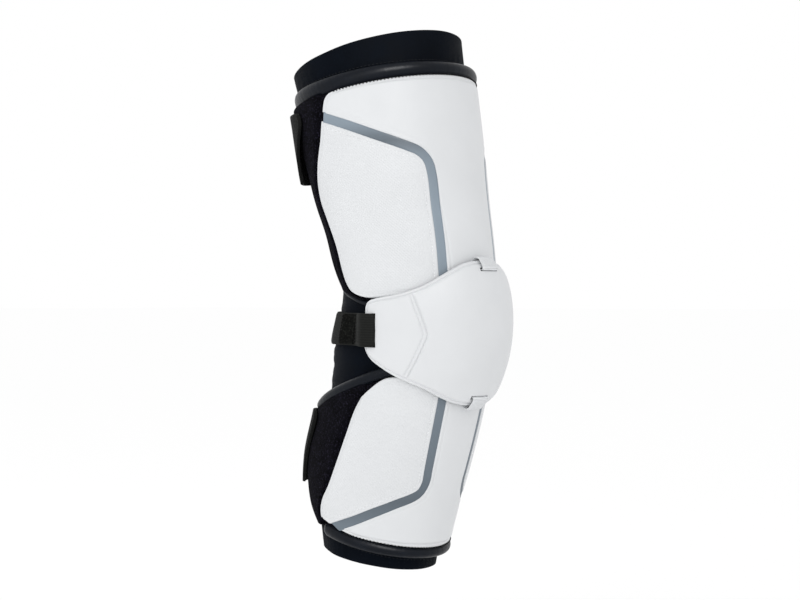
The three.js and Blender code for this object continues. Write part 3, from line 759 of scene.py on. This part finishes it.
def sleeve_folds(round_, up, off):
    """Soft folds at the rear of the elbow, where the sleeve bunches in the bend."""
    rear = bulge(np.abs((round_ + 180) % 360 - 180), 180, 75)
    bend = bulge(up, -2, 34)
    folds = 0.55 * np.sin(up * 0.36 + 0.9 * np.sin(np.radians(round_ * 2)))
    folds += 0.3 * np.sin(up * 0.83 + np.radians(round_ * 3))
    return np.where(off > SLEEVE_OUTSIDE / 2, rear * bend * folds, 0.0)


def inner_sleeve():
    way = np.linspace(0, 1, 150)
    profile = [(0, w) for w in way] + [(SLEEVE_OUTSIDE, w) for w in way[::-1]]
    obj = ring("sleeve", profile, lower_seam, upper_seam, 150, sleeve_folds)
    return dress(obj, "neoprene", ["inner_sleeve"])


def cuff(name, seam, rim, node):
    """A doubled hem: flat inside, a round fold at the rim, and slightly full outside."""
    flat = HEM["flat_to"]
    inside = [(0, w) for w in np.linspace(0, flat, 14)]
    fold = []
    for a in np.linspace(0, math.pi, 12):
        fold.append((CUFF / 2 - CUFF / 2 * math.cos(a), HEM["fold_at"] + HEM["fold_high"] * math.sin(a)))
    outside = [(CUFF + HEM["full"] * math.sin(math.pi * w / flat), w) for w in np.linspace(flat, 0, 18)]

    def soft(round_, up, off):
        ripple = 0.22 * np.sin(np.radians(round_ * 5) + 0.12 * up)
        ripple += 0.13 * np.sin(np.radians(round_ * 11 + 40))
        near_seam = np.exp(-np.abs(up - seam(round_)) / 5)
        puckers = 0.3 * near_seam * np.sin(np.radians(round_ * 46) + np.sin(np.radians(round_ * 7)))
        return np.where(off > CUFF / 2, ripple + puckers, ripple * 0.4)

    obj = ring(name, inside + fold + outside, seam, rim, 200, soft)
    return dress(obj, "cuff_knit", [node])


inner_sleeve()
cuff("cuff_at_shoulder", lambda r: upper_seam(r) + GAP, upper_rim, "upper_cuff")
cuff("cuff_at_wrist", lambda r: lower_seam(r) - GAP, lower_rim, "lower_cuff")

# Wraps
UNDER_ROLL = 0.6  # how far a wrap reaches under a roll


def upper_wrap_top(round_):
    return upper_roll(round_) - upper_roll_half(round_) + UNDER_ROLL


def lower_wrap_foot(round_):
    return lower_roll(round_) + roll_half(round_) - UNDER_ROLL


ELBOW_ROLL = [
    (-30, -16), (0, -16), (40, -17), (64, -20), (75, -24), (87, -29), (100, -34.5), (118, -42), (141, -52),
]
ELBOW_ROLL_HALF = 4.2
ELBOW_ROLL_HIGH = 4.3
left_elbow_roll = smooth(ELBOW_ROLL)


def elbow_roll(round_):
    return left_elbow_roll(np.abs(round_))


def lower_wrap_top(round_):
    return elbow_roll(round_) - ELBOW_ROLL_HALF + UNDER_ROLL


def on_line(line, round_):
    return (round_, float(line(round_)))


UPPER_REAR_EDGE = [
    (115, 39), (119.8, 46), (125.5, 57), (133.5, 74), (141, 100), (147, 125), (151, 150),
    on_line(upper_wrap_top, 152),
]
UPPER_BOTTOM_EDGE = [(115, 39), (103, 33.5), (88, 29), (45, 26.5), (0, 26)]
UPPER_PANEL_EDGE = [
    (88, 29), (96, 32), (102.5, 36), (107, 41.5), (110, 48), (112.5, 57), (115, 72), (118.8, 90),
    (121.3, 102), (119.2, 114), (113.8, 126), (105, 143), (100, 158), (96, 168),
    on_line(upper_wrap_top, 92),
]
LOWER_REAR_EDGE = [
    on_line(lower_wrap_foot, 120), (127.5, -124), (135, -115), (139, -103), (141, -88), (141, -74),
    on_line(lower_wrap_top, 139),
]
LOWER_PANEL_EDGE = [
    on_line(lower_wrap_foot, 108.5), (110, -123), (107, -114), (100, -103), (93.5, -86), (89.5, -68),
    (86.5, -51), (83, -41), on_line(lower_wrap_top, 77),
]
WING = 0.2  # the part of a wrap's mesh that each wing takes
WRAP_EDGE = {"thick": 0.42, "round": 8.0}
WRAP_WAVE = 0.35


def wrap_area(rear, edge, wing_foot, foot, top):
    """The foam body of a pad in one patch: two wings and the stretch under the panels."""
    wing = patch(wing_foot, level(top, rear(1.0)[0], edge(1.0)[0]), rear, edge)
    middle = patch(foot, level(top, edge(1.0)[0], -edge(1.0)[0]), edge, mirrored(edge))

    def at(u, v):
        side = np.minimum(u, 1 - u)
        sign = np.stack([np.where(u > 0.5, -1, 1), np.ones_like(u)], -1)
        in_wing = wing(np.clip(side / WING, 0, 1), v) * sign
        in_middle = middle(np.clip((u - WING) / (1 - 2 * WING), 0, 1), v)
        return np.where((side < WING)[..., None], in_wing, in_middle)

    return at


def wrap(name, area, node):
    wing_u = spread(34, 1.6) * WING
    middle_u = np.linspace(WING, 1 - WING, 90)[1:-1]
    u = np.concatenate([wing_u, middle_u, 1 - wing_u[::-1]])

    def off(round_, up, edges):
        side = np.minimum(u, 1 - u) / WING
        full = lerp(WRAP_BESIDE_PANELS, WRAP_UNDER_PANELS, ease(side, 0.9, 1.0))
        from_rear = rounding(np.minimum(edges[0], edges[1]), WRAP_EDGE["round"])
        rise = WRAP_INSIDE + (full - WRAP_INSIDE) * lerp(WRAP_EDGE["thick"], 1, from_rear)
        return rise + WRAP_WAVE * (1 - ease(side, 0.85, 1.0)) * np.sin(up * 0.13 + round_ * 0.05)

    obj = slab(name, area, off, WRAP_INSIDE, u, spread(140, 2.2))
    dress(obj, "loop_fabric", [node])
    return obj


def upper_wrap():
    foot, wing_foot = symmetric(UPPER_BOTTOM_EDGE[2:]), route(UPPER_BOTTOM_EDGE[:3])
    area = wrap_area(route(UPPER_REAR_EDGE), route(UPPER_PANEL_EDGE), wing_foot, foot, upper_wrap_top)
    return wrap("upper_foam", area, "upper_wrap")


def lower_wrap():
    edge, rear = route(LOWER_PANEL_EDGE), route(LOWER_REAR_EDGE)
    wing_foot = level(lower_wrap_foot, rear(0.0)[0], edge(0.0)[0])
    foot = level(lower_wrap_foot, edge(0.0)[0], -edge(0.0)[0])
    return wrap("lower_foam", wrap_area(rear, edge, wing_foot, foot, lower_wrap_top), "lower_wrap")


upper_wrap()
lower_wrap()

# Rolls and bindings
PIPING_INSIDE = SLEEVE + 0.8
BINDING_BESIDE = BINDING + 0.2
SIDES = (("left", as_is), ("right", mirrored))


def even(value):
    return lambda round_: value + 0 * round_


def end_roll(name, line, reach, half, high, node):
    path = level(line, -reach, reach)
    obj = tube(name, path, ROLL_INSIDE, half, high, step=0.8, sides=22, end_round=5.0, ripple=0.08)
    dress(obj, "binding", [node])


end_roll("roll_at_shoulder", upper_roll, 152, upper_roll_half, roll_high, "upper_end_roll")
end_roll("roll_at_wrist", lower_roll, 112, roll_half, roll_high, "lower_end_roll")
half, high = even(ELBOW_ROLL_HALF), even(ELBOW_ROLL_HIGH)
end_roll("roll_below_elbow", elbow_roll, 138, half, high, "elbow_end_roll")


def piping(name, line, node):
    thin = even(BINDING)
    obj = tube(name, line, PIPING_INSIDE, thin, thin, step=1.2, sides=14, end_round=2.0, ripple=0.05)
    dress(obj, "binding", [node])


for side, turn in SIDES:
    upper_line = beside(route([*reversed(UPPER_BOTTOM_EDGE[1:4]), *UPPER_REAR_EDGE]), -BINDING_BESIDE)
    lower_line = beside(route(LOWER_REAR_EDGE), -BINDING_BESIDE)
    piping(f"upper_piping_{side}", turn(stretch(upper_line, 0, 0.97)), f"upper_binding_{side}")
    piping(f"lower_piping_{side}", turn(stretch(lower_line, 0.03, 0.98)), f"lower_binding_{side}")

# Grey bands and panels
UPPER_BAND = route([
    (30, 33), (30, 50), (29.5, 72), (29, 95), (28.5, 117), (30, 127), (35, 134), (43.5, 138.5),
    (59, 145.5), (79.5, 155), (96.5, 162),
])
LOWER_BAND_SPOTS = [
    (23, -28), (23, -40), (23, -54), (22.7, -69), (22.2, -89), (22.2, -99), (26, -106.5), (44, -115),
    (60, -121.7), (73.5, -127.3), (88, -132.2),
]
LOWER_BAND = route(LOWER_BAND_SPOTS)
LOWER_BAND_LONG = route([*LOWER_BAND_SPOTS, (94.5, -134.2)])
UPPER_BEND = 0.56  # part of the band from its start to the bend
LOWER_BEND = 0.52
BAND_INSIDE = WRAP_UNDER_PANELS + 0.2
BAND_HALF = BAND / 2 + 0.5
BAND_EDGE = {"drop": 0.4, "round": 0.8}
PANEL_BESIDE = BAND / 2 - 0.25
PANEL_INSET = 1.2
PANEL_GAP = 0.9  # between a panel and the wrap's end


def upper_panel_top(round_):
    return upper_wrap_top(round_) - PANEL_GAP


def lower_panel_foot(round_):
    return lower_wrap_foot(round_) + PANEL_GAP


UPPER_PANEL_TOP = [
    (93.8, 170), (91.8, 174.5), (88.8, 177.6),
    *[on_line(upper_panel_top, round_) for round_ in (83, 71, 57, 40, 20, 0)],
]
UPPER_SIDE_FOOT = [(60, 32), (82, 30.8), (90, 31.8)]
LOWER_SIDE_TOP = [(45, -23), (58, -23.8), (67, -26)]
LOWER_PAST_BAND = [(93.2, -130.4), (97.2, -131.4), (101.5, -129.6)]
LOWER_SIDE_SPLIT = 0.72  # part of the lower side panel's foot that runs along the band


def band(name, line, node, turn, ends):
    """A grey band; ends says how far its left and right edge run, so that its end can slant."""
    def area(u, v):
        left = beside(line, BAND_HALF)(np.asarray(v) * ends[0])
        right = beside(line, -BAND_HALF)(np.asarray(v) * ends[1])
        return lerp(left, right, np.asarray(u)[..., None])

    def off(round_, up, edges):
        side = np.minimum(edges[0], edges[1])
        return BAND_FACE - BAND_EDGE["drop"] * (1 - rounding(side, BAND_EDGE["round"]))

    obj = slab(name, turn(area), off, BAND_INSIDE, np.linspace(0, 1, 9), np.linspace(0, 1, 150))
    return dress(obj, "grey_film", [node])


PANEL_EDGE = {"round": 1.3, "thick": 0.62, "line_at": 3.4, "line_wide": 0.8, "line_deep": 0.32}
PANEL_CROWN = (3, 18)  # mm from the edge between which a panel rises to its full height
SIDE_CROWN = 0.3
FREE_EDGE = {"deep": 0.8, "wide": 5.0, "groove": 0.7, "groove_at": 2.6, "groove_wide": 0.9}
RIGHT, BOTTOM, TOP = 1, 2, 3  # a patch's edges, as edge_distances lists them


def puffed(crown, free_edge):
    """A moulded panel: a rounded edge, a pressed line beside it and a full middle. Towards the edge
    that free_edge numbers, where no band lies, it also sinks softly."""
    def off(round_, up, edges):
        edge, free = np.minimum.reduce(edges), edges[free_edge]
        thick = lerp(PANEL_EDGE["thick"], 1, rounding(edge, PANEL_EDGE["round"]))
        body = PANEL_INSIDE + (PANEL_FACE - PANEL_INSIDE) * thick
        line = PANEL_EDGE["line_deep"] * bulge(edge, PANEL_EDGE["line_at"], PANEL_EDGE["line_wide"])
        sunk = FREE_EDGE["deep"] * (1 - ease(free, 0, FREE_EDGE["wide"]))
        sunk = sunk + FREE_EDGE["groove"] * bulge(free, FREE_EDGE["groove_at"], FREE_EDGE["groove_wide"])
        return body - line + crown * ease(edge, *PANEL_CROWN) - sunk

    return off


def front_panel(name, area, u, v, node, free_edge):
    dress(slab(name, area, puffed(0, free_edge), PANEL_INSIDE, u, v), "shell", [node])


def side_panel(name, area, u, v, node):
    off = puffed(SIDE_CROWN, RIGHT)
    dress(slab(name, area, off, PANEL_INSIDE, u, v), "textured_shell", [node])


def upper_front_panel():
    left = beside(UPPER_BAND, PANEL_BESIDE)
    foot = straight(left(0.0), left(0.0) * (-1, 1))
    top = symmetric([tuple(left(1.0)), *UPPER_PANEL_TOP])
    area = patch(foot, top, left, mirrored(left))
    front_panel("upper_front_skin", area, spread(130, 1.5), spread(170, 1.2), "upper_front_panel", TOP)


def upper_side_panel(side, turn):
    inner = beside(UPPER_BAND, -PANEL_BESIDE)
    rear = ending_at(stretch(beside(route(UPPER_PANEL_EDGE), PANEL_INSET), 0.08, 0.86), inner(1.0))
    foot = route([tuple(inner(0.0)), *UPPER_SIDE_FOOT, tuple(rear(0.0))])
    area = turn(patch(foot, stretch(inner, UPPER_BEND, 1), stretch(inner, 0, UPPER_BEND), rear))
    u, v = spread(80, 1.3), spread(110, 1.3)
    side_panel(f"upper_side_skin_{side}", area, u, v, f"upper_side_panel_{side}")


def lower_front_panel():
    upward = stretch(beside(LOWER_BAND, -PANEL_BESIDE), 1, 0)
    foot_spots = [on_line(lower_panel_foot, round_) for round_ in (74, 55, 35, 18, 0)]
    foot = symmetric([tuple(upward(0.0)), *foot_spots])
    top = straight(upward(1.0), upward(1.0) * (-1, 1))
    area = patch(foot, top, upward, mirrored(upward))
    front_panel("lower_front_skin", area, spread(110, 1.5), spread(150, 1.5), "lower_front_panel", BOTTOM)


def lower_side_panel(side, turn):
    inner = beside(LOWER_BAND, PANEL_BESIDE)
    rear = stretch(beside(route(LOWER_PANEL_EDGE), PANEL_INSET), 0.05, 0.9)
    top = route([tuple(inner(0.0)), *LOWER_SIDE_TOP, tuple(rear(1.0))])
    past = route([tuple(inner(1.0)), *LOWER_PAST_BAND, tuple(rear(0.0))])

    def foot(u):
        u = np.asarray(u, float)
        along = inner(lerp(LOWER_BEND, 1, np.minimum(1, u / LOWER_SIDE_SPLIT)))
        beyond = past((u - LOWER_SIDE_SPLIT) / (1 - LOWER_SIDE_SPLIT))
        return np.where((u <= LOWER_SIDE_SPLIT)[..., None], along, beyond)

    area = turn(patch(foot, top, stretch(inner, LOWER_BEND, 0), rear))
    u, v = spread(80, 1.3), spread(95, 1.3)
    side_panel(f"lower_side_skin_{side}", area, u, v, f"lower_side_panel_{side}")


upper_front_panel()
lower_front_panel()
for side, turn in SIDES:
    band(f"upper_grey_line_{side}", UPPER_BAND, f"upper_band_{side}", turn, (0.99, 0.985))
    band(f"lower_grey_line_{side}", LOWER_BAND_LONG, f"lower_band_{side}", turn, (1, 0.955))
    upper_side_panel(side, turn)
    lower_side_panel(side, turn)

# Elbow cap
CAP_TOP = [(84, 28.5), (77, 30.5), (59, 34), (44, 39.5), (34, 45), (24, 50.5), (15, 54.3), (0, 56)]
CAP_FOOT = [
    (80.5, -9), (75, -13), (63, -20.5), (54, -25), (38, -31.5), (28, -36.5), (16, -40.8), (0, -42.5),
]
CAP_END = [(80.5, -9), (82, -3), (83.3, 10), (84.2, 22), (84, 28.5)]
CAP = {"wall": 3.2, "edge": 16, "front_edge": 17.6, "dome": 8.6, "spread": 88}
CHEVRON = {
    "bend": (44.2, 6.3), "rise": 0.38, "fall": 0.31, "soft": 1.5, "wide": 2.6, "bevel": 0.75,
    "high": 0.45, "deep": 0.75, "from_rim": (2.5, 4.5),
}
CAP_STRETCH = 1.3  # mm on the cap to one on the skin under it
CAP_THROUGH = (8, 32)
CAP_CORNERS = [(right, top, radius) for right in (False, True) for top, radius in ((False, 9), (True, 5))]
CAP_RIM = {"drop": 1.3, "round": 1.1, "step": 0.5, "lip": 2.4, "soft": 0.6, "groove": 0.75, "narrow": 0.65}
CAP_FINE = (0, 0.15, 0.35, 0.65, 1.05, 1.5, 1.85, 2.15, 2.45, 2.75, 3.1, 3.6, 4.3)
SIDE_SLOT = {"from": 74.3, "to": 76.9, "low": -3.3, "high": 19.9}
LOOP = {"reach": 7, "slot_reach": 7.8, "near": 5.7, "far": 8.2, "thick": 1.4}
cap_area = patch(symmetric(CAP_FOOT), symmetric(CAP_TOP), route(CAP_END), mirrored(route(CAP_END)))
CAP_TOP_UP = float(cap_area(0.5, 1.0)[1])
CAP_FOOT_UP = float(cap_area(0.5, 0.0)[1])


def cap_face(round_, v):
    front = np.maximum(0, cosine(round_ * 90 / CAP["spread"]))
    edge = lerp(CAP["edge"], CAP["front_edge"], front * front)
    return edge + CAP["dome"] * front ** 1.2 * np.sqrt(np.maximum(0, np.sin(np.pi * v)))


def cap_rim(edge):
    """How far the cap's face drops near its edge: a rounded rim, a thin lip and a groove beside it."""
    rim = CAP_RIM["drop"] * (1 - rounding(edge, CAP_RIM["round"]))
    lip = CAP_RIM["step"] * (1 - ease(edge, CAP_RIM["lip"], CAP_RIM["lip"] + CAP_RIM["soft"]))
    return rim + lip + CAP_RIM["groove"] * bulge(edge, CAP_RIM["lip"], CAP_RIM["narrow"])


def chevron_relief(round_, up):
    """The height of the pressed chevron: a raised band with a groove along each side, in mm."""
    bend, bevel, wide = CHEVRON["bend"], CHEVRON["bevel"], CHEVRON["wide"]
    slope = np.where(up > bend[1], CHEVRON["rise"], CHEVRON["fall"])
    line = bend[0] + np.sqrt((up - bend[1]) ** 2 + CHEVRON["soft"] ** 2) * slope
    inward = (line - np.abs(round_)) * MM_PER_DEGREE * CAP_STRETCH
    raised = ease(inward, 0, bevel) * (1 - ease(inward, wide, wide + bevel))
    grooves = bulge(inward, 0, bevel) + bulge(inward, wide + bevel, bevel)
    return CHEVRON["high"] * raised - CHEVRON["deep"] * grooves


def block(name, across, heights, off, lean=None):
    """A block bent to the skin, between two degrees round, two heights and two distances off it."""
    round_, up = np.meshgrid(np.linspace(*across, 9), np.linspace(*heights, 3))
    if lean:
        round_ = lean(round_, up)
    return two_faced(name, np.stack([round_, up], -1), off[1], off[0])


ELBOW_STRAP = {"middle": 8.3, "width": 23, "thick": 1.8, "off": 5, "per_degree": 1.12, "steps": 420}
LEAN = {"degrees_per_mm": 0.11, "from": 95, "to": 112}


def leaning(round_, up):
    """The degrees round at a height for the strap's front part, whose folds stand upright."""
    signed = (round_ + 180) % 360 - 180
    amount = LEAN["degrees_per_mm"] * (1 - ease(np.abs(signed), LEAN["from"], LEAN["to"]))
    return round_ + np.sign(signed) * amount * (up - ELBOW_STRAP["middle"])


def cap_slots():
    """Blocks where the cap is cut through: one at each side and one for each loop."""
    slots = []
    for sign in (-1, 1):
        across = (sign * SIDE_SLOT["from"], sign * SIDE_SLOT["to"])
        heights = (SIDE_SLOT["low"], SIDE_SLOT["high"])
        slots.append(block(f"side_slot_{sign}", across, heights, CAP_THROUGH, leaning))
    for edge, inward in ((CAP_TOP_UP, -1), (CAP_FOOT_UP, 1)):
        across = (-LOOP["slot_reach"], LOOP["slot_reach"])
        heights = (edge + inward * LOOP["near"], edge + inward * LOOP["far"])
        slots.append(block(f"loop_slot_{inward}", across, heights, CAP_THROUGH))
    return slots


def cut_out(obj, cutters, sharp):
    """Cuts closed meshes out of a piece and removes them."""
    for cutter in cutters:
        modifier = obj.modifiers.new(cutter.name, "BOOLEAN")
        modifier.operation = "DIFFERENCE"
        modifier.object = cutter
    bpy.context.view_layer.update()
    cut = obj.evaluated_get(bpy.context.evaluated_depsgraph_get())
    obj.data = bpy.data.meshes.new_from_object(cut)
    obj.modifiers.clear()
    for cutter in cutters:
        bpy.data.objects.remove(cutter)
    obj.data.shade_smooth()
    obj.data.set_sharp_from_angle(angle=math.radians(sharp))


def elbow_cap():
    u, v = spread(180, 0.7, CAP_FINE), spread(98, 0.8, CAP_FINE)
    flat, edges, v_grid = patch_grid(cap_area, u, v, CAP["edge"], CAP_CORNERS)
    edge = np.minimum.reduce(edges)
    face = cap_face(flat[..., 0], v_grid)
    relief = chevron_relief(flat[..., 0], flat[..., 1]) * ease(edge, *CHEVRON["from_rim"])
    shell = two_faced("cap_shell", flat, face - cap_rim(edge) + relief, face - CAP["wall"])
    cut_out(shell, cap_slots(), CAP_SHARP)
    return dress(shell, "shell", ["elbow_cap"])


elbow_cap()

# Loops and straps
LOOP_PATH = [
    (12, 13), (4, 13), (0, 13.4), (-1.6, 15), (-1.7, 18), (-0.2, 20), (2.5, 21.6), (5.2, 22.9),
    (6.9, 22.6), (7, 20.4), (7, 18.4),
]


def cap_loop(name, edge, inward_sign, node):
    section = strip_section(2 * LOOP["reach"], LOOP["thick"], 12)
    inward, off, uvs = swept(LOOP_PATH, section, 60)
    points = place(section[None, :, 0] + 0 * inward, edge + inward_sign * inward, off)
    return dress(loft(name, points, uvs, sharp=STRIP_SHARP), "white_webbing", [node])


cap_loop("tape_above_cap", CAP_TOP_UP, -1, "cap_loop_upper")
cap_loop("tape_below_cap", CAP_FOOT_UP, 1, "cap_loop_lower")

# The elbow strap's turn round the bar at the cap's end: degrees round and distance off the skin,
# from the sewn end to the rear
BAR_TURN = [
    (123.5, 7.4), (112, 7.4), (101, 7.6), (94.5, 9.2), (90, 12.6), (87, 16.2), (83.5, 18.5), (78.3, 18.9),
    (75.7, 18.2), (75.4, 16), (75.5, 13.4), (76.7, 11.8), (80, 11.3), (84.5, 10.4), (89, 7.6), (94.5, 5.6),
]


def elbow_strap():
    rear = [(round_, ELBOW_STRAP["off"]) for round_ in range(100, 261, 10)]
    other_turn = [(360 - round_, off) for round_, off in reversed(BAR_TURN)]
    per_degree = ELBOW_STRAP["per_degree"]
    spots = [(round_ * per_degree, off) for round_, off in [*BAR_TURN, *rear, *other_turn]]
    section = strip_section(ELBOW_STRAP["width"], ELBOW_STRAP["thick"], 14)
    along, off, uvs = swept(spots, section, ELBOW_STRAP["steps"])
    up = ELBOW_STRAP["middle"] + section[None, :, 0] + 0 * along
    points = place(leaning(along / per_degree, up), up, off)
    obj = loft("elbow_webbing", points, uvs, sharp=STRIP_SHARP)
    return dress(obj, "webbing", ["elbow_strap"], "ribbed_webbing")


# The patch where the strap's end is sewn on itself, between two degrees round, with a row of thread
# beside each end
SEWN = {"from": 95.5, "to": 111.5, "rows": (94.4, 112.6), "high": 21.4, "thick": 0.7, "sunk": 0.5}
SEWN_RIBS = {"deep": 0.16, "mm_apart": 1.5, "degrees_apart": 1.7}
STRAP_FACE = ELBOW_STRAP["thick"] / 2
STRAP_THREAD = {"pitch": 2.2, "length": 1.5, "thick": 0.5, "lift": 0.15}
bar_off = smooth([(row[0], row[1]) for row in reversed(BAR_TURN[:6])])


def sewn_patch(turn, side):
    def area(u, v):
        round_ = lerp(SEWN["from"], SEWN["to"], u)
        return np.stack([round_, ELBOW_STRAP["middle"] + SEWN["high"] * (v - 0.5)], -1)

    flat, edges, _ = patch_grid(turn(area), spread(18, 0.5), spread(20, 0.5), 10)
    edge = np.minimum.reduce(edges)
    face = bar_off(np.abs(flat[..., 0])) + STRAP_FACE
    ribs = np.sin(flat[..., 1] * 2 * np.pi / SEWN_RIBS["mm_apart"])
    ribs = SEWN_RIBS["deep"] * ribs * np.sin(flat[..., 0] * 2 * np.pi / SEWN_RIBS["degrees_apart"])
    outer = face + SEWN["thick"] * rounding(edge, 0.6) + ribs * ease(edge, 0.4, 1)
    obj = two_faced(f"sewn_patch_{side}", flat, outer, face - SEWN["sunk"])
    dress(obj, "webbing", look="fuzzy_webbing")


def strap_threads(turn, side):
    half = SEWN["high"] / 2 - 0.8
    rows = []
    for round_ in SEWN["rows"]:
        row = route([(round_, ELBOW_STRAP["middle"] - half), (round_, ELBOW_STRAP["middle"] + half)])
        rows.append((turn(row), float(bar_off(round_)) + STRAP_FACE))
    sew(f"strap_thread_{side}", rows, STRAP_THREAD, "webbing", "black_thread")


elbow_strap()
for side, turn in SIDES:
    sewn_patch(turn, side)
    strap_threads(turn, side)

# Wide straps: each starts as a hook tab, whose edge is given in degrees round and height, and is
# sewn on at end degrees round. The upper one's tab stands off the pad at its foot.
UPPER_STRAP = {
    "tab": [(139, 119), (133, 130), (122.5, 148), (116.5, 160), (118, 166.5), (123, 168)],
    "end": 229,
    "stand": 4,
}
LOWER_STRAP = {
    "tab": [(138, -105), (133.5, -101), (130.5, -90), (127, -74), (125.5, -62), (127, -55.5), (132, -53)],
    "end": 228,
    "stand": 0,
}
STRAP_EDGE = {"thick": 0.35, "round": 0.9}
strap_lie_left = smooth([(100, 12), (140, 12), (148, 11.6), (157, 8.8), (165, 6.5), (173, 4.8), (180, 4.2)])


def strap_lie(round_):
    return strap_lie_left(np.where(round_ > 180, 360 - round_, round_))


def wide_strap(name, tab, end, stand, node):
    edge = route(tab)
    low, high = edge(0.0), edge(1.0)
    foot, top = straight(low, (end, low[1])), straight(high, (end, high[1]))
    area = patch(foot, top, edge, straight((end, low[1]), (end, high[1])))
    u, v = spread(115, 1.4), spread(50, 1.4)
    flat, edges, v_grid = patch_grid(area, u, v, 10)
    lie = strap_lie(flat[..., 0]) + stand * (1 - v_grid) * (1 - u) ** 2
    thick = lerp(STRAP_EDGE["thick"], 1, rounding(np.minimum.reduce(edges), STRAP_EDGE["round"]))
    return dress(two_faced(name, flat, lie + STRAP * thick, lie), "webbing", [node])


wide_strap("upper_elastic", **UPPER_STRAP, node="upper_strap")
wide_strap("lower_elastic", **LOWER_STRAP, node="lower_strap")

# Stitches
PANEL_STITCH_IN = 3.4
PANEL_STITCH_OFF = PANEL_FACE - 0.25
PANEL_THREAD = {"pitch": 2.6, "length": 1.5, "thick": 0.34, "lift": 0.05}
ROLL_STITCH_REACH = 84
ROLL_STITCH_OFF = 11.6
ROLL_THREAD = {"pitch": 2.6, "length": 1.2, "thick": 0.55, "lift": 0.0}
CUFF_STITCH_OFF = CUFF + 0.2
CUFF_THREAD = {"pitch": 2.9, "length": 1.6, "thick": 0.32, "lift": 0.15}


def panel_stitches(side, turn):
    """Fine rows of thread just inside the side panels, along the bands."""
    beside_upper = stretch(beside(UPPER_BAND, -PANEL_BESIDE - PANEL_STITCH_IN), 0.02, 0.98)
    beside_lower = stretch(beside(LOWER_BAND, PANEL_BESIDE + PANEL_STITCH_IN), 0.02, 0.98)
    lines = [(turn(line), PANEL_STITCH_OFF) for line in (beside_upper, beside_lower)]
    sew(f"panel_thread_{side}", lines, PANEL_THREAD, "textured_shell", "white_thread")


def roll_stitches(name, line):
    """Dark thread along a roll's edge towards the panels."""
    seam = level(line, -ROLL_STITCH_REACH, ROLL_STITCH_REACH)
    sew(f"roll_thread_{name}", [(seam, ROLL_STITCH_OFF)], ROLL_THREAD, "binding", "black_thread")


def cuff_stitches(name, line):
    """Dark thread round a cuff, beside its roll."""
    seam = level(line, 0, 360)
    sew(f"cuff_thread_{name}", [(seam, CUFF_STITCH_OFF)], CUFF_THREAD, "cuff_knit", "grey_thread")


for side, turn in SIDES:
    panel_stitches(side, turn)
roll_stitches("shoulder", lambda r: upper_panel_top(r) - 0.45)
roll_stitches("wrist", lambda r: lower_panel_foot(r) + 0.3)
cuff_stitches("shoulder", lambda r: upper_seam(r) + 3.4)
cuff_stitches("wrist", lambda r: lower_seam(r) - 3.0)

# Camera, floor and light
CAMERA = {"azimuth": -50.0, "distance": 1.6, "mm_per_pixel": 0.735, "aim": (-0.0052, 0.0062, 0.0294)}
IMAGE_WIDTH = 800
SENSOR = 36.0
FLOOR = {"half": 60.0, "up": -0.26}
MIDDLE = (0, 0, 0.03)
KEY = {"location": (-1.95, -0.5, 0.5), "size": 1.4, "power": 9}
GLINT = {"location": (-0.9, -1.2, 1.0), "size": 0.5, "power": 50}


def camera():
    data = bpy.data.cameras.new("camera")
    data.sensor_width = SENSOR
    data.lens = SENSOR * CAMERA["distance"] / (IMAGE_WIDTH * CAMERA["mm_per_pixel"] * MM)
    obj = placed("camera", data)
    angle = math.radians(CAMERA["azimuth"])
    aim, reach = CAMERA["aim"], CAMERA["distance"]
    obj.location = (aim[0] + reach * math.sin(angle), aim[1] - reach * math.cos(angle), aim[2])
    obj.rotation_euler = (math.radians(90), 0, angle)
    bpy.context.scene.camera = obj


def soft_light(name, location, size, power, highlights_only=False):
    data = bpy.data.lights.new(name, "AREA")
    data.shape = "DISK"
    data.size = size
    data.energy = power
    obj = placed(name, data)
    obj.location = location
    obj.rotation_euler = (Vector(MIDDLE) - Vector(location)).to_track_quat("-Z", "Y").to_euler()
    obj.visible_diffuse = not highlights_only


def floor():
    half, up = FLOOR["half"], FLOOR["up"]
    corners = [(-half, -half, up), (half, -half, up), (half, half, up), (-half, half, up)]
    mesh = bpy.data.meshes.new("floor")
    mesh.from_pydata(corners, [], [(0, 1, 2, 3)])
    obj = placed("floor", mesh)
    m = Shader("floor", (0.99, 0.99, 0.99), 0.9, Specular_IOR_Level=0.0)
    m.bump((m.noise(m.object, 60.0), 0.05, 0.001))
    mesh.materials.append(m.material)


def world():
    scene_world = bpy.data.worlds.new("studio")
    bpy.context.scene.world = scene_world
    scene_world.use_nodes = True
    background = scene_world.node_tree.nodes["Background"]
    background.inputs["Color"].default_value = (1, 1, 1, 1)
    background.inputs["Strength"].default_value = 1.0


camera()
floor()
world()
soft_light("key", **KEY)
soft_light("glint", **GLINT, highlights_only=True)
bpy.context.scene.view_settings.view_transform = "Standard"
